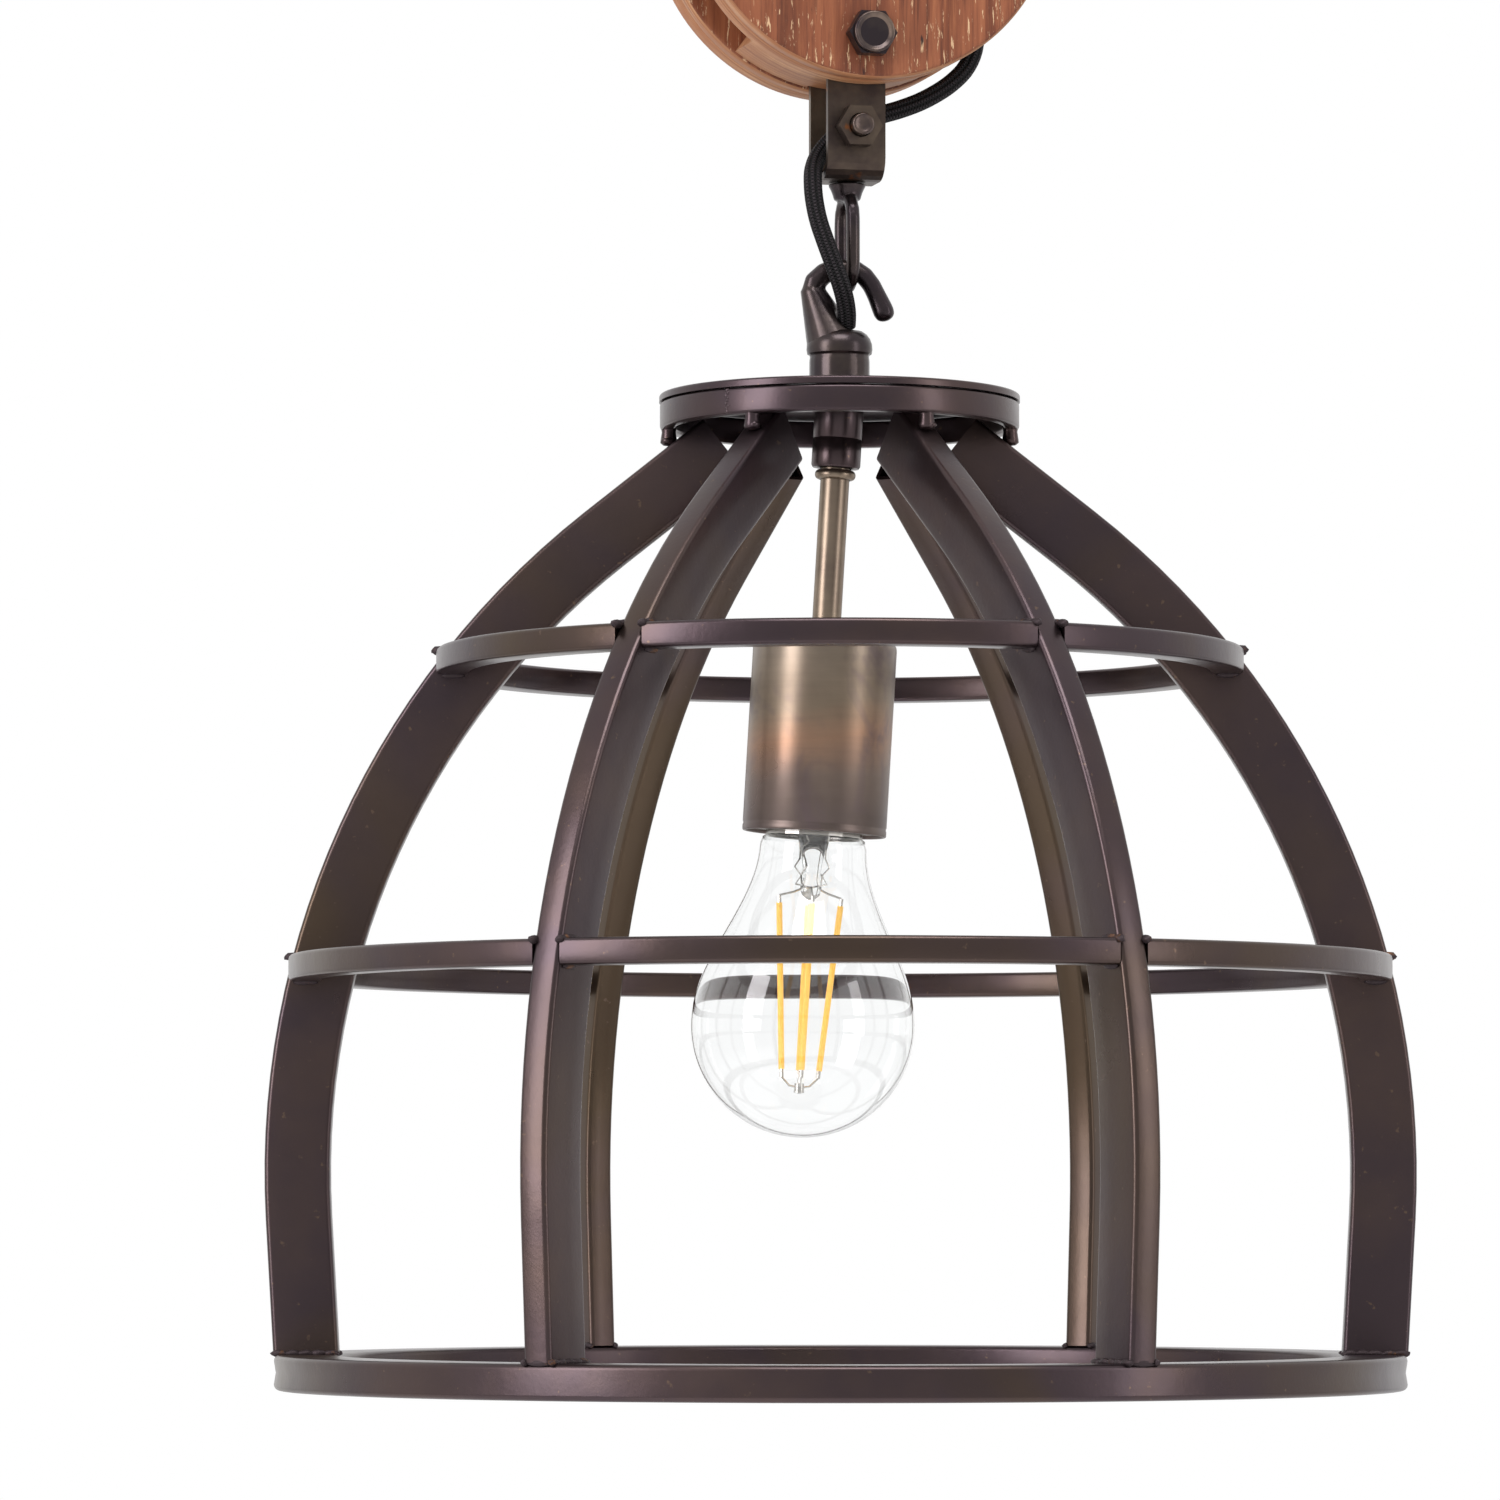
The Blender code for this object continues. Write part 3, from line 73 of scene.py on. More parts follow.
PLATE_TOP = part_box("top_plate")[1][2]
AXIS = Vector((middle("top_plate").x, middle("top_plate").y, PLATE_TOP))
BLOCK = middle("sheave")
BLOCK_YAW = math.radians(15)
BLOCK_RADIUS = size_of("front_cheek").z / 2
CHEEK_THICKNESS = 12.6 * MM
GROOVE_WIDTH = 20.8 * MM
PLATE_THICKNESS = 2 * MM
STEM_LEAN = math.radians(3.4)

# Rib and ring sizes as the frame has them
RIB_COUNT = 6
RIB_DEPTH = 17.5 * MM
RIB_WIDTH = 8 * MM
RIB_WALL = 1.2 * MM
RIB_BEND_RADIUS = 224.9 * MM
RIB_WIDEST = 154 * MM
RIB_WIDEST_DROP = 208.1 * MM
RIB_TOP_ANGLE = math.radians(51.7)
RIB_FOOT_ANGLE = math.radians(-3.4)
RIB_TOP_RUN = 40.3 * MM
BOTTOM_RING_DROP = 257.5 * MM
BOTTOM_RING_HEIGHT = 9.3 * MM
HOOPS = {"upper_hoop": (108.4 * MM, 68.8 * MM), "lower_hoop": (147.6 * MM, 151.1 * MM)}
HOOP_HEIGHT = 6.8 * MM
HOOP_WIDTH = 9 * MM
TOP_RING_RADIUS = 48.4 * MM
TOP_RING_HEIGHT = 9.3 * MM
WELD_AT = 46 * MM
CEILING_HOLE = 3 * MM
RIB_STEPS = 28
GAP = 0.3 * MM                    # between neighbours that touch
FINE = 160                        # steps round a large ring
BRAID_STRANDS = 9                 # seen round the cord


# ---------------------------------------------------------------- node helpers

class Shader:
    """A Principled material with short ways to add texture nodes."""

    def __init__(self, name, **values):
        self.material = bpy.data.materials.new(name)
        self.material.use_nodes = True
        self.tree = self.material.node_tree
        self.shader = self.tree.nodes["Principled BSDF"]
        for key, value in values.items():
            self.set(key.replace("_", " "), value)
        self.coordinates = self.node("ShaderNodeTexCoord").outputs["Object"]

    def node(self, kind, **settings):
        made = self.tree.nodes.new(kind)
        for key, value in settings.items():
            setattr(made, key, value)
        return made

    def set(self, socket, value):
        if hasattr(value, "is_output"):
            self.tree.links.new(value, self.shader.inputs[socket])
        else:
            self.shader.inputs[socket].default_value = value

    def wire(self, value, socket):
        if hasattr(value, "is_output"):
            self.tree.links.new(value, socket)
        else:
            socket.default_value = value

    def stretch(self, scale, rotation=(0, 0, 0), source=None):
        mapping = self.node("ShaderNodeMapping")
        self.wire(source or self.coordinates, mapping.inputs["Vector"])
        mapping.inputs["Scale"].default_value = scale
        mapping.inputs["Rotation"].default_value = rotation
        return mapping.outputs["Vector"]

    def noise(self, scale, detail=3.0, rough=0.55, source=None, distortion=0.0):
        texture = self.node("ShaderNodeTexNoise")
        self.wire(source or self.coordinates, texture.inputs["Vector"])
        texture.inputs["Scale"].default_value = scale
        texture.inputs["Detail"].default_value = detail
        texture.inputs["Roughness"].default_value = rough
        texture.inputs["Distortion"].default_value = distortion
        return texture.outputs["Fac"]

    def ramp(self, factor, *stops):
        """Stops are (position, grey or colour)."""
        ramp = self.node("ShaderNodeValToRGB")
        self.wire(factor, ramp.inputs["Fac"])
        elements = ramp.color_ramp.elements
        while len(elements) < len(stops):
            elements.new(0.5)
        for element, (position, colour) in zip(elements, stops):
            if isinstance(colour, (int, float)):
                colour = (colour, colour, colour)
            element.position = position
            element.color = (*colour, 1)
        return ramp.outputs["Color"]

    def mix(self, factor, low, high):
        mix = self.node("ShaderNodeMix", data_type="RGBA")
        self.wire(factor, mix.inputs[0])
        for value, socket in ((low, mix.inputs[6]), (high, mix.inputs[7])):
            self.wire(value if hasattr(value, "is_output") else (*value, 1), socket)
        return mix.outputs[2]

    def math(self, operation, first, second=0.0):
        node = self.node("ShaderNodeMath", operation=operation)
        self.wire(first, node.inputs[0])
        self.wire(second, node.inputs[1])
        return node.outputs[0]

    def axis(self, letter):
        split = self.node("ShaderNodeSeparateXYZ")
        self.wire(self.coordinates, split.inputs[0])
        return split.outputs[letter]

    def bump(self, height, strength, distance, below=None):
        bump = self.node("ShaderNodeBump")
        bump.inputs["Strength"].default_value = strength
        bump.inputs["Distance"].default_value = distance
        self.wire(height, bump.inputs["Height"])
        if below:
            self.tree.links.new(below, bump.inputs["Normal"])
        return bump.outputs["Normal"]

    def roughness(self, factor, low, high):
        spread = self.node("ShaderNodeMapRange")
        self.wire(factor, spread.inputs["Value"])
        spread.inputs["To Min"].default_value = low
        spread.inputs["To Max"].default_value = high
        self.set("Roughness", spread.outputs["Result"])


# ---------------------------------------------------------------- materials

def blackened_steel(name, brown):
    """Satin black lacquer over steel, a little purple, with soft brown patina clouds and fine specks."""
    s = Shader(name, Metallic=0.94, Coat_Weight=0.12, Coat_Roughness=0.16)
    clouds = s.ramp(s.noise(16, 4, 0.6), (0.42 - brown, 0.0), (0.72 - brown, 1.0))
    base = s.mix(clouds, (0.058, 0.041, 0.046), (0.084, 0.056, 0.048))
    olive = s.ramp(s.noise(9, 3, 0.5, distortion=0.6), (0.52 - brown, 0.0), (0.70 - brown, 1.0))
    base = s.mix(olive, base, (0.078, 0.053, 0.034))
    specks = s.ramp(s.noise(420, 2), (0.70, 0.0), (0.76, 1.0))
    base = s.mix(specks, base, (0.120, 0.080, 0.060))
    s.set("Base Color", base)
    s.roughness(s.noise(38, 4), 0.20, 0.42)
    fine = s.bump(s.noise(900, 2), 0.12, 0.0002)
    s.set("Normal", s.bump(s.noise(70, 3), 0.20, 0.0006, fine))
    return s.material


def weld_rust():
    s = Shader("weld_rust", Metallic=0.7)
    rust = s.ramp(s.noise(190, 4, 0.65), (0.57, 0.0), (0.68, 1.0))
    s.set("Base Color", s.mix(rust, (0.040, 0.028, 0.031), (0.150, 0.068, 0.030)))
    s.roughness(s.noise(300), 0.38, 0.75)
    s.set("Normal", s.bump(s.noise(420, 4), 0.6, 0.0005))
    return s.material


def cast_black(name, wear_and_highlight):
    """Cast and forged black: the hook, the eyes and the bolts' heads, with worn brown places. With more
    wear, on the bolt rims, the wider and paler brown is partly a painted highlight ring.
    """
    s = Shader(name, Metallic=0.9, Coat_Weight=0.12, Coat_Roughness=0.2)
    worn = s.ramp(s.noise(60, 4, 0.6), (0.46 - wear_and_highlight, 0.0), (0.70 - wear_and_highlight, 1.0))
    # The paler brown is worn metal; on the bolt rims it is also a painted highlight ring.
    bare_and_highlight = (0.062 + wear_and_highlight, 0.047 + wear_and_highlight * 0.7, 0.042 + wear_and_highlight * 0.5)
    s.set("Base Color", s.mix(worn, (0.036, 0.027, 0.031), bare_and_highlight))
    s.roughness(s.noise(90, 3), 0.22, 0.40)
    s.set("Normal", s.bump(s.noise(180, 3), 0.20, 0.0004))
    return s.material


def strap_steel():
    """Flat bar with a brown-olive patina and small rust spots."""
    s = Shader("strap_steel", Metallic=0.9)
    clouds = s.ramp(s.noise(48, 4, 0.6), (0.38, 0.0), (0.66, 1.0))
    base = s.mix(clouds, (0.055, 0.040, 0.036), (0.150, 0.112, 0.080))
    spots = s.ramp(s.noise(150, 3, 0.6), (0.66, 0.0), (0.73, 1.0))
    s.set("Base Color", s.mix(spots, base, (0.20, 0.075, 0.028)))
    s.roughness(s.noise(120, 3), 0.27, 0.55)
    s.set("Normal", s.bump(s.noise(330, 3), 0.22, 0.0004))
    return s.material


def zinc_steel():
    s = Shader("zinc_steel", Metallic=1.0)
    s.set("Base Color", s.ramp(s.noise(130, 4), (0.35, 0.34), (0.65, 0.50)))
    s.roughness(s.noise(220), 0.28, 0.48)
    s.set("Normal", s.bump(s.noise(500), 0.12, 0.0002))
    return s.material


def antique_brass(name, cover):
    """Rubbed brass gone brown: on the cover a coppery band over a dark lower rim."""
    s = Shader(name, Metallic=0.95)
    rings = s.noise(1.0, 3, 0.6, source=s.stretch((40, 40, 520)))
    stains = s.ramp(s.noise(34, 4, 0.6), (0.34, 0.0), (0.68, 1.0))
    base = s.mix(stains, (0.160, 0.118, 0.094), (0.300, 0.238, 0.175))
    if cover:
        low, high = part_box("socket_cover")
        height = s.node("ShaderNodeMapRange")
        s.wire(s.axis("Z"), height.inputs["Value"])
        height.inputs["From Min"].default_value = low[2]
        height.inputs["From Max"].default_value = high[2]
        cloud = s.math("MULTIPLY_ADD", s.noise(26, 3), 0.30)
        cloud.node.inputs[2].default_value = -0.15
        level = s.math("ADD", height.outputs["Result"], cloud)
        dark = (0.090, 0.070, 0.074)
        copper = (0.310, 0.172, 0.108)
        tint = s.ramp(level, (0.08, dark), (0.28, (0.160, 0.118, 0.104)), (0.46, copper),
                      (0.62, (0.230, 0.176, 0.126)), (0.95, (0.250, 0.208, 0.165)))
        base = s.mix(0.72, base, tint)
        mauve = s.ramp(s.noise(48, 3, 0.6, distortion=0.8), (0.50, 0.0), (0.66, 0.7))
        base = s.mix(mauve, base, (0.135, 0.100, 0.106))
    base = s.mix(s.ramp(rings, (0.44, 0.0), (0.66, 0.10)), base, (0.10, 0.078, 0.062))
    s.set("Base Color", base)
    s.roughness(stains, 0.27, 0.40)
    s.set("Normal", s.bump(rings, 0.03, 0.0002, s.bump(s.noise(120, 3), 0.08, 0.0003)))
    return s.material


def wood_face():
    """Red-brown paint rubbed back along the grain, with pale flecks and dark nicks."""
    s = Shader("wood_face", Specular_IOR_Level=0.3, Coat_Weight=0.05, Coat_Roughness=0.45)
    grain_way = s.stretch((190, 190, 11))
    grain = s.noise(1.0, 6, 0.62, source=grain_way, distortion=0.4)
    base = s.ramp(grain, (0.30, (0.060, 0.014, 0.007)), (0.46, (0.150, 0.041, 0.018)),
                  (0.58, (0.245, 0.078, 0.034)), (0.74, (0.340, 0.130, 0.060)))
    clouds = s.ramp(s.noise(42, 4, 0.6), (0.34, 0.0), (0.66, 0.45))
    base = s.mix(clouds, base, (0.205, 0.062, 0.024))
    threads = s.noise(1.0, 4, 0.7, source=s.stretch((900, 900, 34)))
    base = s.mix(s.ramp(threads, (0.54, 0.0), (0.70, 0.50)), base, (0.330, 0.120, 0.048))
    base = s.mix(s.ramp(threads, (0.34, 0.70), (0.46, 0.0)), base, (0.070, 0.018, 0.008))
    fleck_way = s.stretch((950, 950, 135))
    across = s.node("ShaderNodeVectorMath", operation="DISTANCE")
    s.wire(s.coordinates, across.inputs[0])
    across.inputs[1].default_value = BLOCK
    worn = s.ramp(across.outputs["Value"], (BLOCK_RADIUS * 0.70, 0.0), (BLOCK_RADIUS * 1.03, 0.055))
    spots = s.math("ADD", s.noise(1.0, 4, 0.7, source=fleck_way), worn)
    flecks = s.ramp(spots, (0.645, 0.0), (0.685, 0.85))
    base = s.mix(flecks, base, (0.60, 0.40, 0.23))
    nicks = s.ramp(s.noise(1.0, 3, 0.6, source=s.stretch((260, 260, 70))), (0.285, 1.0), (0.33, 0.0))
    base = s.mix(nicks, base, (0.030, 0.010, 0.007))
    s.set("Base Color", base)
    s.roughness(grain, 0.40, 0.62)
    s.set("Normal", s.bump(flecks, 0.35, 0.0004, s.bump(grain, 0.30, 0.0004)))
    return s.material


def wood_rim():
    """Bare turned wood: tan, with fine lines round the rim."""
    s = Shader("wood_rim", Specular_IOR_Level=0.3, Coat_Weight=0.04, Coat_Roughness=0.5)
    turned_to_block = s.stretch((1, 1, 1), (0, 0, -BLOCK_YAW))
    lines = s.noise(1.0, 5, 0.65, source=s.stretch((26, 900, 26), source=turned_to_block))
    base = s.ramp(lines, (0.34, (0.190, 0.066, 0.026)), (0.50, (0.350, 0.160, 0.074)),
                  (0.66, (0.500, 0.275, 0.140)))
    clouds = s.ramp(s.noise(55, 4, 0.6), (0.40, 0.0), (0.68, 1.0))
    base = s.mix(clouds, base, (0.300, 0.120, 0.052))
    s.set("Base Color", base)
    s.roughness(lines, 0.45, 0.66)
    s.set("Normal", s.bump(lines, 0.35, 0.0003))
    return s.material


def wood_groove():
    s = Shader("wood_groove")
    lines = s.noise(1.0, 5, 0.6, source=s.stretch((60, 60, 420)))
    s.set("Base Color", s.ramp(lines, (0.32, (0.060, 0.018, 0.011)), (0.62, (0.190, 0.066, 0.033))))
    s.roughness(lines, 0.50, 0.72)
    s.set("Normal", s.bump(lines, 0.30, 0.0003))
    return s.material


def braid():
    """Black textile: two crossed sets of ribs on the tube's own coordinates, with painted shade in the
    valleys between them.
    """
    s = Shader("black_braid", Specular_IOR_Level=0.22)
    place = s.node("ShaderNodeUVMap", uv_map="braid").outputs["UV"]
    split = s.node("ShaderNodeSeparateXYZ")
    s.wire(place, split.inputs[0])
    sets = []
    for way in (1, -1):
        slant = s.math("MULTIPLY_ADD", split.outputs["Y"], way * 1.0)
        s.wire(split.outputs["X"], slant.node.inputs[2])
        wave = s.math("SINE", s.math("MULTIPLY", slant, math.tau * BRAID_STRANDS))
        sets.append(wave)
    over = s.math("SINE", s.math("MULTIPLY", split.outputs["Y"], math.tau * BRAID_STRANDS))
    height = s.math("MAXIMUM", s.math("MULTIPLY", sets[0], over),
                    s.math("MULTIPLY", sets[1], s.math("MULTIPLY", over, -1.0)))
    # Painted shade: the weave's valleys are coloured darker than its ridges.
    s.set("Base Color", s.ramp(height, (0.10, (0.0008, 0.0007, 0.0010)), (0.90, (0.030, 0.024, 0.028))))
    s.set("Roughness", 0.66)
    s.set("Normal", s.bump(height, 0.85, 0.0005))
    return s.material


def plain(name, colour, metallic, low, high, **values):
    """Small pieces: a faint colour drift, uneven gloss and a fine surface."""
    s = Shader(name, Metallic=metallic, **values)
    darker = tuple(c * 0.82 for c in colour)
    s.set("Base Color", s.mix(s.noise(160, 3), darker, colour))
    s.roughness(s.noise(320, 3), low, high)
    s.set("Normal", s.bump(s.noise(640), 0.1, 0.0002))
    return s.material


def glass(name, roughness):
    s = Shader(name, Transmission_Weight=1.0, IOR=1.45)
    s.set("Base Color", (0.985, 0.99, 0.99, 1.0))
    s.roughness(s.noise(60), roughness, roughness + 0.015)
    s.set("Normal", s.bump(s.noise(22, 2), 0.05, 0.0004))
    return s.material


def filament_with_painted_glow():
    # The emission is a painted glow: the bulb is unlit, and the filaments shine on their own here.
    s = Shader("filament_yellow", Emission_Color=(1.0, 0.54, 0.07, 1.0), Emission_Strength=0.35)
    s.set("Base Color", s.mix(s.noise(900), (0.95, 0.48, 0.05), (1.0, 0.68, 0.18)))
    s.roughness(s.noise(700), 0.45, 0.6)
    return s.material


LOOKS = {
    "blackened_steel": blackened_steel("blackened_steel", 0.0),
    "browned_steel": blackened_steel("browned_steel", 0.16),
    "weld_rust": weld_rust(),
    "cast_iron_black": cast_black("cast_black", 0.0),
    # Bolt rims: real wear, and a painted highlight ring in their paler brown.
    "worn_cast_with_highlight": cast_black("worn_cast_with_highlight", 0.12),
    "strap_steel": strap_steel(),
    "zinc_steel": zinc_steel(),
    "antique_brass": antique_brass("antique_brass", False),
    "cover_brass": antique_brass("cover_brass", True),
    "painted_wood": wood_face(),
    "wood_rim": wood_rim(),
    "sheave_wood": wood_groove(),
    "black_textile": braid(),
    "brass": plain("brass", (0.50, 0.36, 0.15), 1.0, 0.25, 0.42),
    "nickel": plain("nickel", (0.62, 0.60, 0.56), 1.0, 0.18, 0.32),
    "white_plastic": plain("white_plastic", (0.74, 0.74, 0.70), 0.0, 0.40, 0.55),
    "black_plastic": plain("black_plastic", (0.022, 0.022, 0.022), 0.0, 0.38, 0.52),
    "porcelain": plain("porcelain", (0.62, 0.60, 0.55), 0.0, 0.22, 0.34, Coat_Weight=0.5),
    "clear_glass": glass("clear_glass", 0.0),
    "mount_glass": glass("mount_glass", 0.03),
    "filament_yellow": filament_with_painted_glow(),
}


# ---------------------------------------------------------------- shape helpers

def make(name, mesh, look, body, nodes=(), sharp=40):
    """A finished piece: material, smooth shading, the body it rides on and what it stands for."""
    obj = bpy.data.objects.new(name, mesh)
    bpy.context.scene.collection.objects.link(obj)
    mesh.materials.clear()
    mesh.materials.append(LOOKS[look])
    mesh.shade_smooth()
    mesh.set_sharp_from_angle(angle=math.radians(sharp))
    if body:
        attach(obj, body)
    if nodes:
        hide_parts(*nodes)
    return obj


def mesh_from(name, shape):
    bmesh.ops.recalc_face_normals(shape, faces=shape.faces)
    mesh = bpy.data.meshes.new(name)
    shape.to_mesh(mesh)
    shape.free()
    return mesh


def lathe(shape, outline, matrix, steps=64, closed=True):
    """Adds a turned surface: outline is (radius, height) pairs, matrix carries the shape's own Z."""
    rows = []
    for radius, height in outline:
        if radius < 1e-7:
            rows.append([shape.verts.new(matrix @ Vector((0, 0, height)))])
            continue
        rows.append([shape.verts.new(matrix @ Vector((radius * math.cos(a), radius * math.sin(a), height)))
                     for a in (math.tau * k / steps for k in range(steps))])
    pairs = list(zip(rows, rows[1:]))
    if closed:
        pairs.append((rows[-1], rows[0]))
    for first, second in pairs:
        if len(first) == 1 and len(second) == 1:
            continue
        for k in range(steps):
            n = (k + 1) % steps
            corners = [first[k % len(first)], first[n % len(first)],
                       second[n % len(second)], second[k % len(second)]]
            face = [v for i, v in enumerate(corners) if v not in corners[:i]]
            shape.faces.new(face)


def turned(name, outline, matrix, look, body, nodes=(), steps=64, closed=True, sharp=40):
    shape = bmesh.new()
    lathe(shape, outline, matrix, steps, closed)
    return make(name, mesh_from(name, shape), look, body, nodes, sharp)


def skin(shape, rings, cyclic=False):
    """Joins rings of points, each a closed loop of the same count, and closes the two ends."""
    rows = [[shape.verts.new(point) for point in ring] for ring in rings]
    pairs = list(zip(rows, rows[1:]))
    if cyclic:
        pairs.append((rows[-1], rows[0]))
    for first, second in pairs:
        count = len(first)
        for k in range(count):
            n = (k + 1) % count
            shape.faces.new((first[k], first[n], second[n], second[k]))
    if not cyclic:
        shape.faces.new(rows[0])
        shape.faces.new(rows[-1])


def arc(centre, radius, start, end, steps):
    angles = [start + (end - start) * i / steps for i in range(steps + 1)]
    return [(centre[0] + radius * math.cos(a), centre[1] + radius * math.sin(a)) for a in angles]


def soft_rectangle(left, right, bottom, top, corner, steps=3):
    """Anticlockwise from the right side, with round corners."""
    points = []
    for x, y, start in ((right - corner, top - corner, 0), (left + corner, top - corner, 90),
                        (left + corner, bottom + corner, 180), (right - corner, bottom + corner, 270)):
        points += arc((x, y), corner, math.radians(start), math.radians(start + 90), steps)
    return points


def bent_tube(shape, points, radius, sides):
    """A round rod along points."""
    points = [Vector(p) for p in points]
    up = Vector((0, 0, 1)) if abs((points[1] - points[0]).normalized().z) < 0.9 else Vector((1, 0, 0))
    rings = []
    for i, point in enumerate(points):
        way = (points[min(i + 1, len(points) - 1)] - points[max(i - 1, 0)]).normalized()
        side = up.cross(way).normalized()
        up = way.cross(side)
        rings.append([point + (side * math.cos(a) + up * math.sin(a)) * radius
                      for a in (math.tau * k / sides for k in range(sides))])
    skin(shape, rings)


def smooth_route(points, step):
    """Even steps along the Catmull-Rom curve through the points."""
    knots = [Vector(p) for p in points]
    knots = [2 * knots[0] - knots[1]] + knots + [2 * knots[-1] - knots[-2]]
    fine = []
    for i in range(1, len(knots) - 2):
        before, start, end, after = knots[i - 1:i + 3]
        for k in range(12):
            t = k / 12
            fine.append(0.5 * (
                2 * start + (end - before) * t
                + (2 * before - 5 * start + 4 * end - after) * t ** 2
                + (3 * start - before - 3 * end + after) * t ** 3
            ))
    fine.append(knots[-2])
    lengths = [0.0]
    for a, b in zip(fine, fine[1:]):
        lengths.append(lengths[-1] + (b - a).length)
    count = max(2, round(lengths[-1] / step))
    route = []
    k = 0
    for i in range(count + 1):
        target = lengths[-1] * i / count
        while k < len(fine) - 2 and lengths[k + 1] < target:
            k += 1
        share = (target - lengths[k]) / (lengths[k + 1] - lengths[k])
        route.append(fine[k].lerp(fine[k + 1], min(1.0, share)))
    return route, lengths[-1]


# ---------------------------------------------------------------- camera, light and stage

CAMERA_DISTANCE = 1.957
CAMERA_HEIGHT = -0.523
CAMERA_PITCH = math.radians(3.68)
CAMERA_YAW = math.radians(0.706)
CAMERA_LENS = 175.2


def build_camera():
    data = bpy.data.cameras.new("camera")
    data.lens = CAMERA_LENS
    data.sensor_width = 36
    camera = bpy.data.objects.new("camera", data)
    bpy.context.scene.collection.objects.link(camera)
    camera.location = (AXIS.x, -CAMERA_DISTANCE, CAMERA_HEIGHT)
    camera.rotation_euler = (math.pi / 2 + CAMERA_PITCH, 0, CAMERA_YAW)
    bpy.context.scene.camera = camera


def area_light(name, place, target, size, power, colour=(1, 1, 1)):
    data = bpy.data.lights.new(name, "AREA")
    data.shape = "RECTANGLE"
    data.size, data.size_y = size
    data.energy = power
    data.color = colour
    light = bpy.data.objects.new(name, data)
    bpy.context.scene.collection.objects.link(light)
    light.location = place
    light.rotation_euler = (Vector(target) - Vector(place)).to_track_quat("-Z", "Y").to_euler()


def build_world():
    """White behind the lamp, and a little greyer from the camera's side."""
    world = bpy.data.worlds.new("studio")
    world.use_nodes = True
    background = world.node_tree.nodes["Background"]
    nodes, links = world.node_tree.nodes, world.node_tree.links
    place = nodes.new("ShaderNodeTexCoord")
    split = nodes.new("ShaderNodeSeparateXYZ")
    spread = nodes.new("ShaderNodeMapRange")
    spread.interpolation_type = "SMOOTHSTEP"
    spread.inputs["From Min"].default_value = -0.85
    spread.inputs["From Max"].default_value = 0.35
    spread.inputs["To Min"].default_value = 0.62
    spread.inputs["To Max"].default_value = 1.0
    links.new(place.outputs["Generated"], split.inputs[0])
    links.new(split.outputs["Y"], spread.inputs["Value"])
    links.new(spread.outputs["Result"], background.inputs["Color"])
    background.inputs["Strength"].default_value = 1.0
    bpy.context.scene.world = world


def build_stage():
    """Soft lights aimed at the lamp, and a pale floor well under it."""
    centre = (0, 0, -0.38)
    area_light("left_softbox", (-1.5, -1.1, 0.1), centre, (0.7, 1.6), 25, (1.0, 0.97, 1.0))
    area_light("right_softbox", (1.6, -0.9, -0.1), centre, (0.4, 1.4), 6, (1.0, 0.97, 0.98))
    area_light("top_softbox", (0.1, -0.9, 1.2), centre, (1.2, 0.8), 22)
    floor = bpy.data.meshes.new("floor")
    half, height = 6, -1.3
    corners = [(x * half, y * half, height) for x, y in ((-1, -1), (1, -1), (1, 1), (-1, 1))]
    floor.from_pydata(corners, [], [(0, 1, 2, 3)])
    s = Shader("pale_floor", Roughness=0.8)
    s.set("Base Color", s.mix(s.noise(3), (0.86, 0.86, 0.86), (0.90, 0.90, 0.90)))
    floor.materials.append(s.material)
    ground = bpy.data.objects.new("floor", floor)
    bpy.context.scene.collection.objects.link(ground)
    bpy.context.scene.view_settings.view_transform = "Standard"


# ---------------------------------------------------------------- cords

CORD_RADIUS = 2.5 * MM
CORD_SIDES = 24
CORD_STEP = 1.6 * MM
UPPER_CORD = (                    # from the cord grip to the sheave, in metres
    (0.0338, 0.0091, -0.0520), (0.0340, 0.0092, -0.0600), (0.0345, 0.0093, -0.0720),
    (0.0347, 0.0093, -0.0850), (0.0345, 0.0092, -0.0980), (0.0339, 0.0091, -0.1110),
    (0.0334, 0.0090, -0.1240), (0.0331, 0.0089, -0.1370), (0.0329, 0.0088, -0.1500),
    (0.0328, 0.0088, -0.1615), (0.0328, 0.0088, -0.1674),
)
LOWER_CORD = (                    # from the sheave down to the lamp
    (0.0328, 0.0088, -0.1678), (0.0330, 0.0088, -0.1760), (0.0336, 0.0090, -0.1850),
    (0.0343, 0.0092, -0.1930), (0.0349, 0.0094, -0.1990), (0.0345, 0.0093, -0.2058),
    (0.0323, 0.0087, -0.2111), (0.0288, 0.0077, -0.2150), (0.0247, 0.0066, -0.2181),
    (0.0196, 0.0052, -0.2210), (0.0140, 0.0037, -0.2233), (0.0094, 0.0023, -0.2248),
    (0.0048, 0.0008, -0.2264), (0.0003, -0.0010, -0.2288), (-0.0041, -0.0024, -0.2324),
    (-0.0075, -0.0046, -0.2369), (-0.0090, -0.0076, -0.2410), (-0.0092, -0.0102, -0.2453),
    (-0.0088, -0.0112, -0.2501), (-0.0077, -0.0113, -0.2555), (-0.0058, -0.0111, -0.2612),
    (-0.0037, -0.0104, -0.2669), (-0.0018, -0.0087, -0.2721), (-0.0006, -0.0063, -0.2763),
    (-0.0001, -0.0038, -0.2798), (-0.0002, -0.0016, -0.2827),
)
CEILING_LEAD = (                  # inside the rose, from the cord grip to the terminal block
    (0.0338, 0.0091, -0.0517), (0.0338, 0.0091, -0.043), (0.0338, 0.0091, -0.033),
    (0.031, 0.013, -0.025), (0.024, 0.017, -0.019), (0.016, 0.0175, -0.014), (0.008, 0.015, -0.0105),
    (0.001, 0.0115, -0.0092),
)


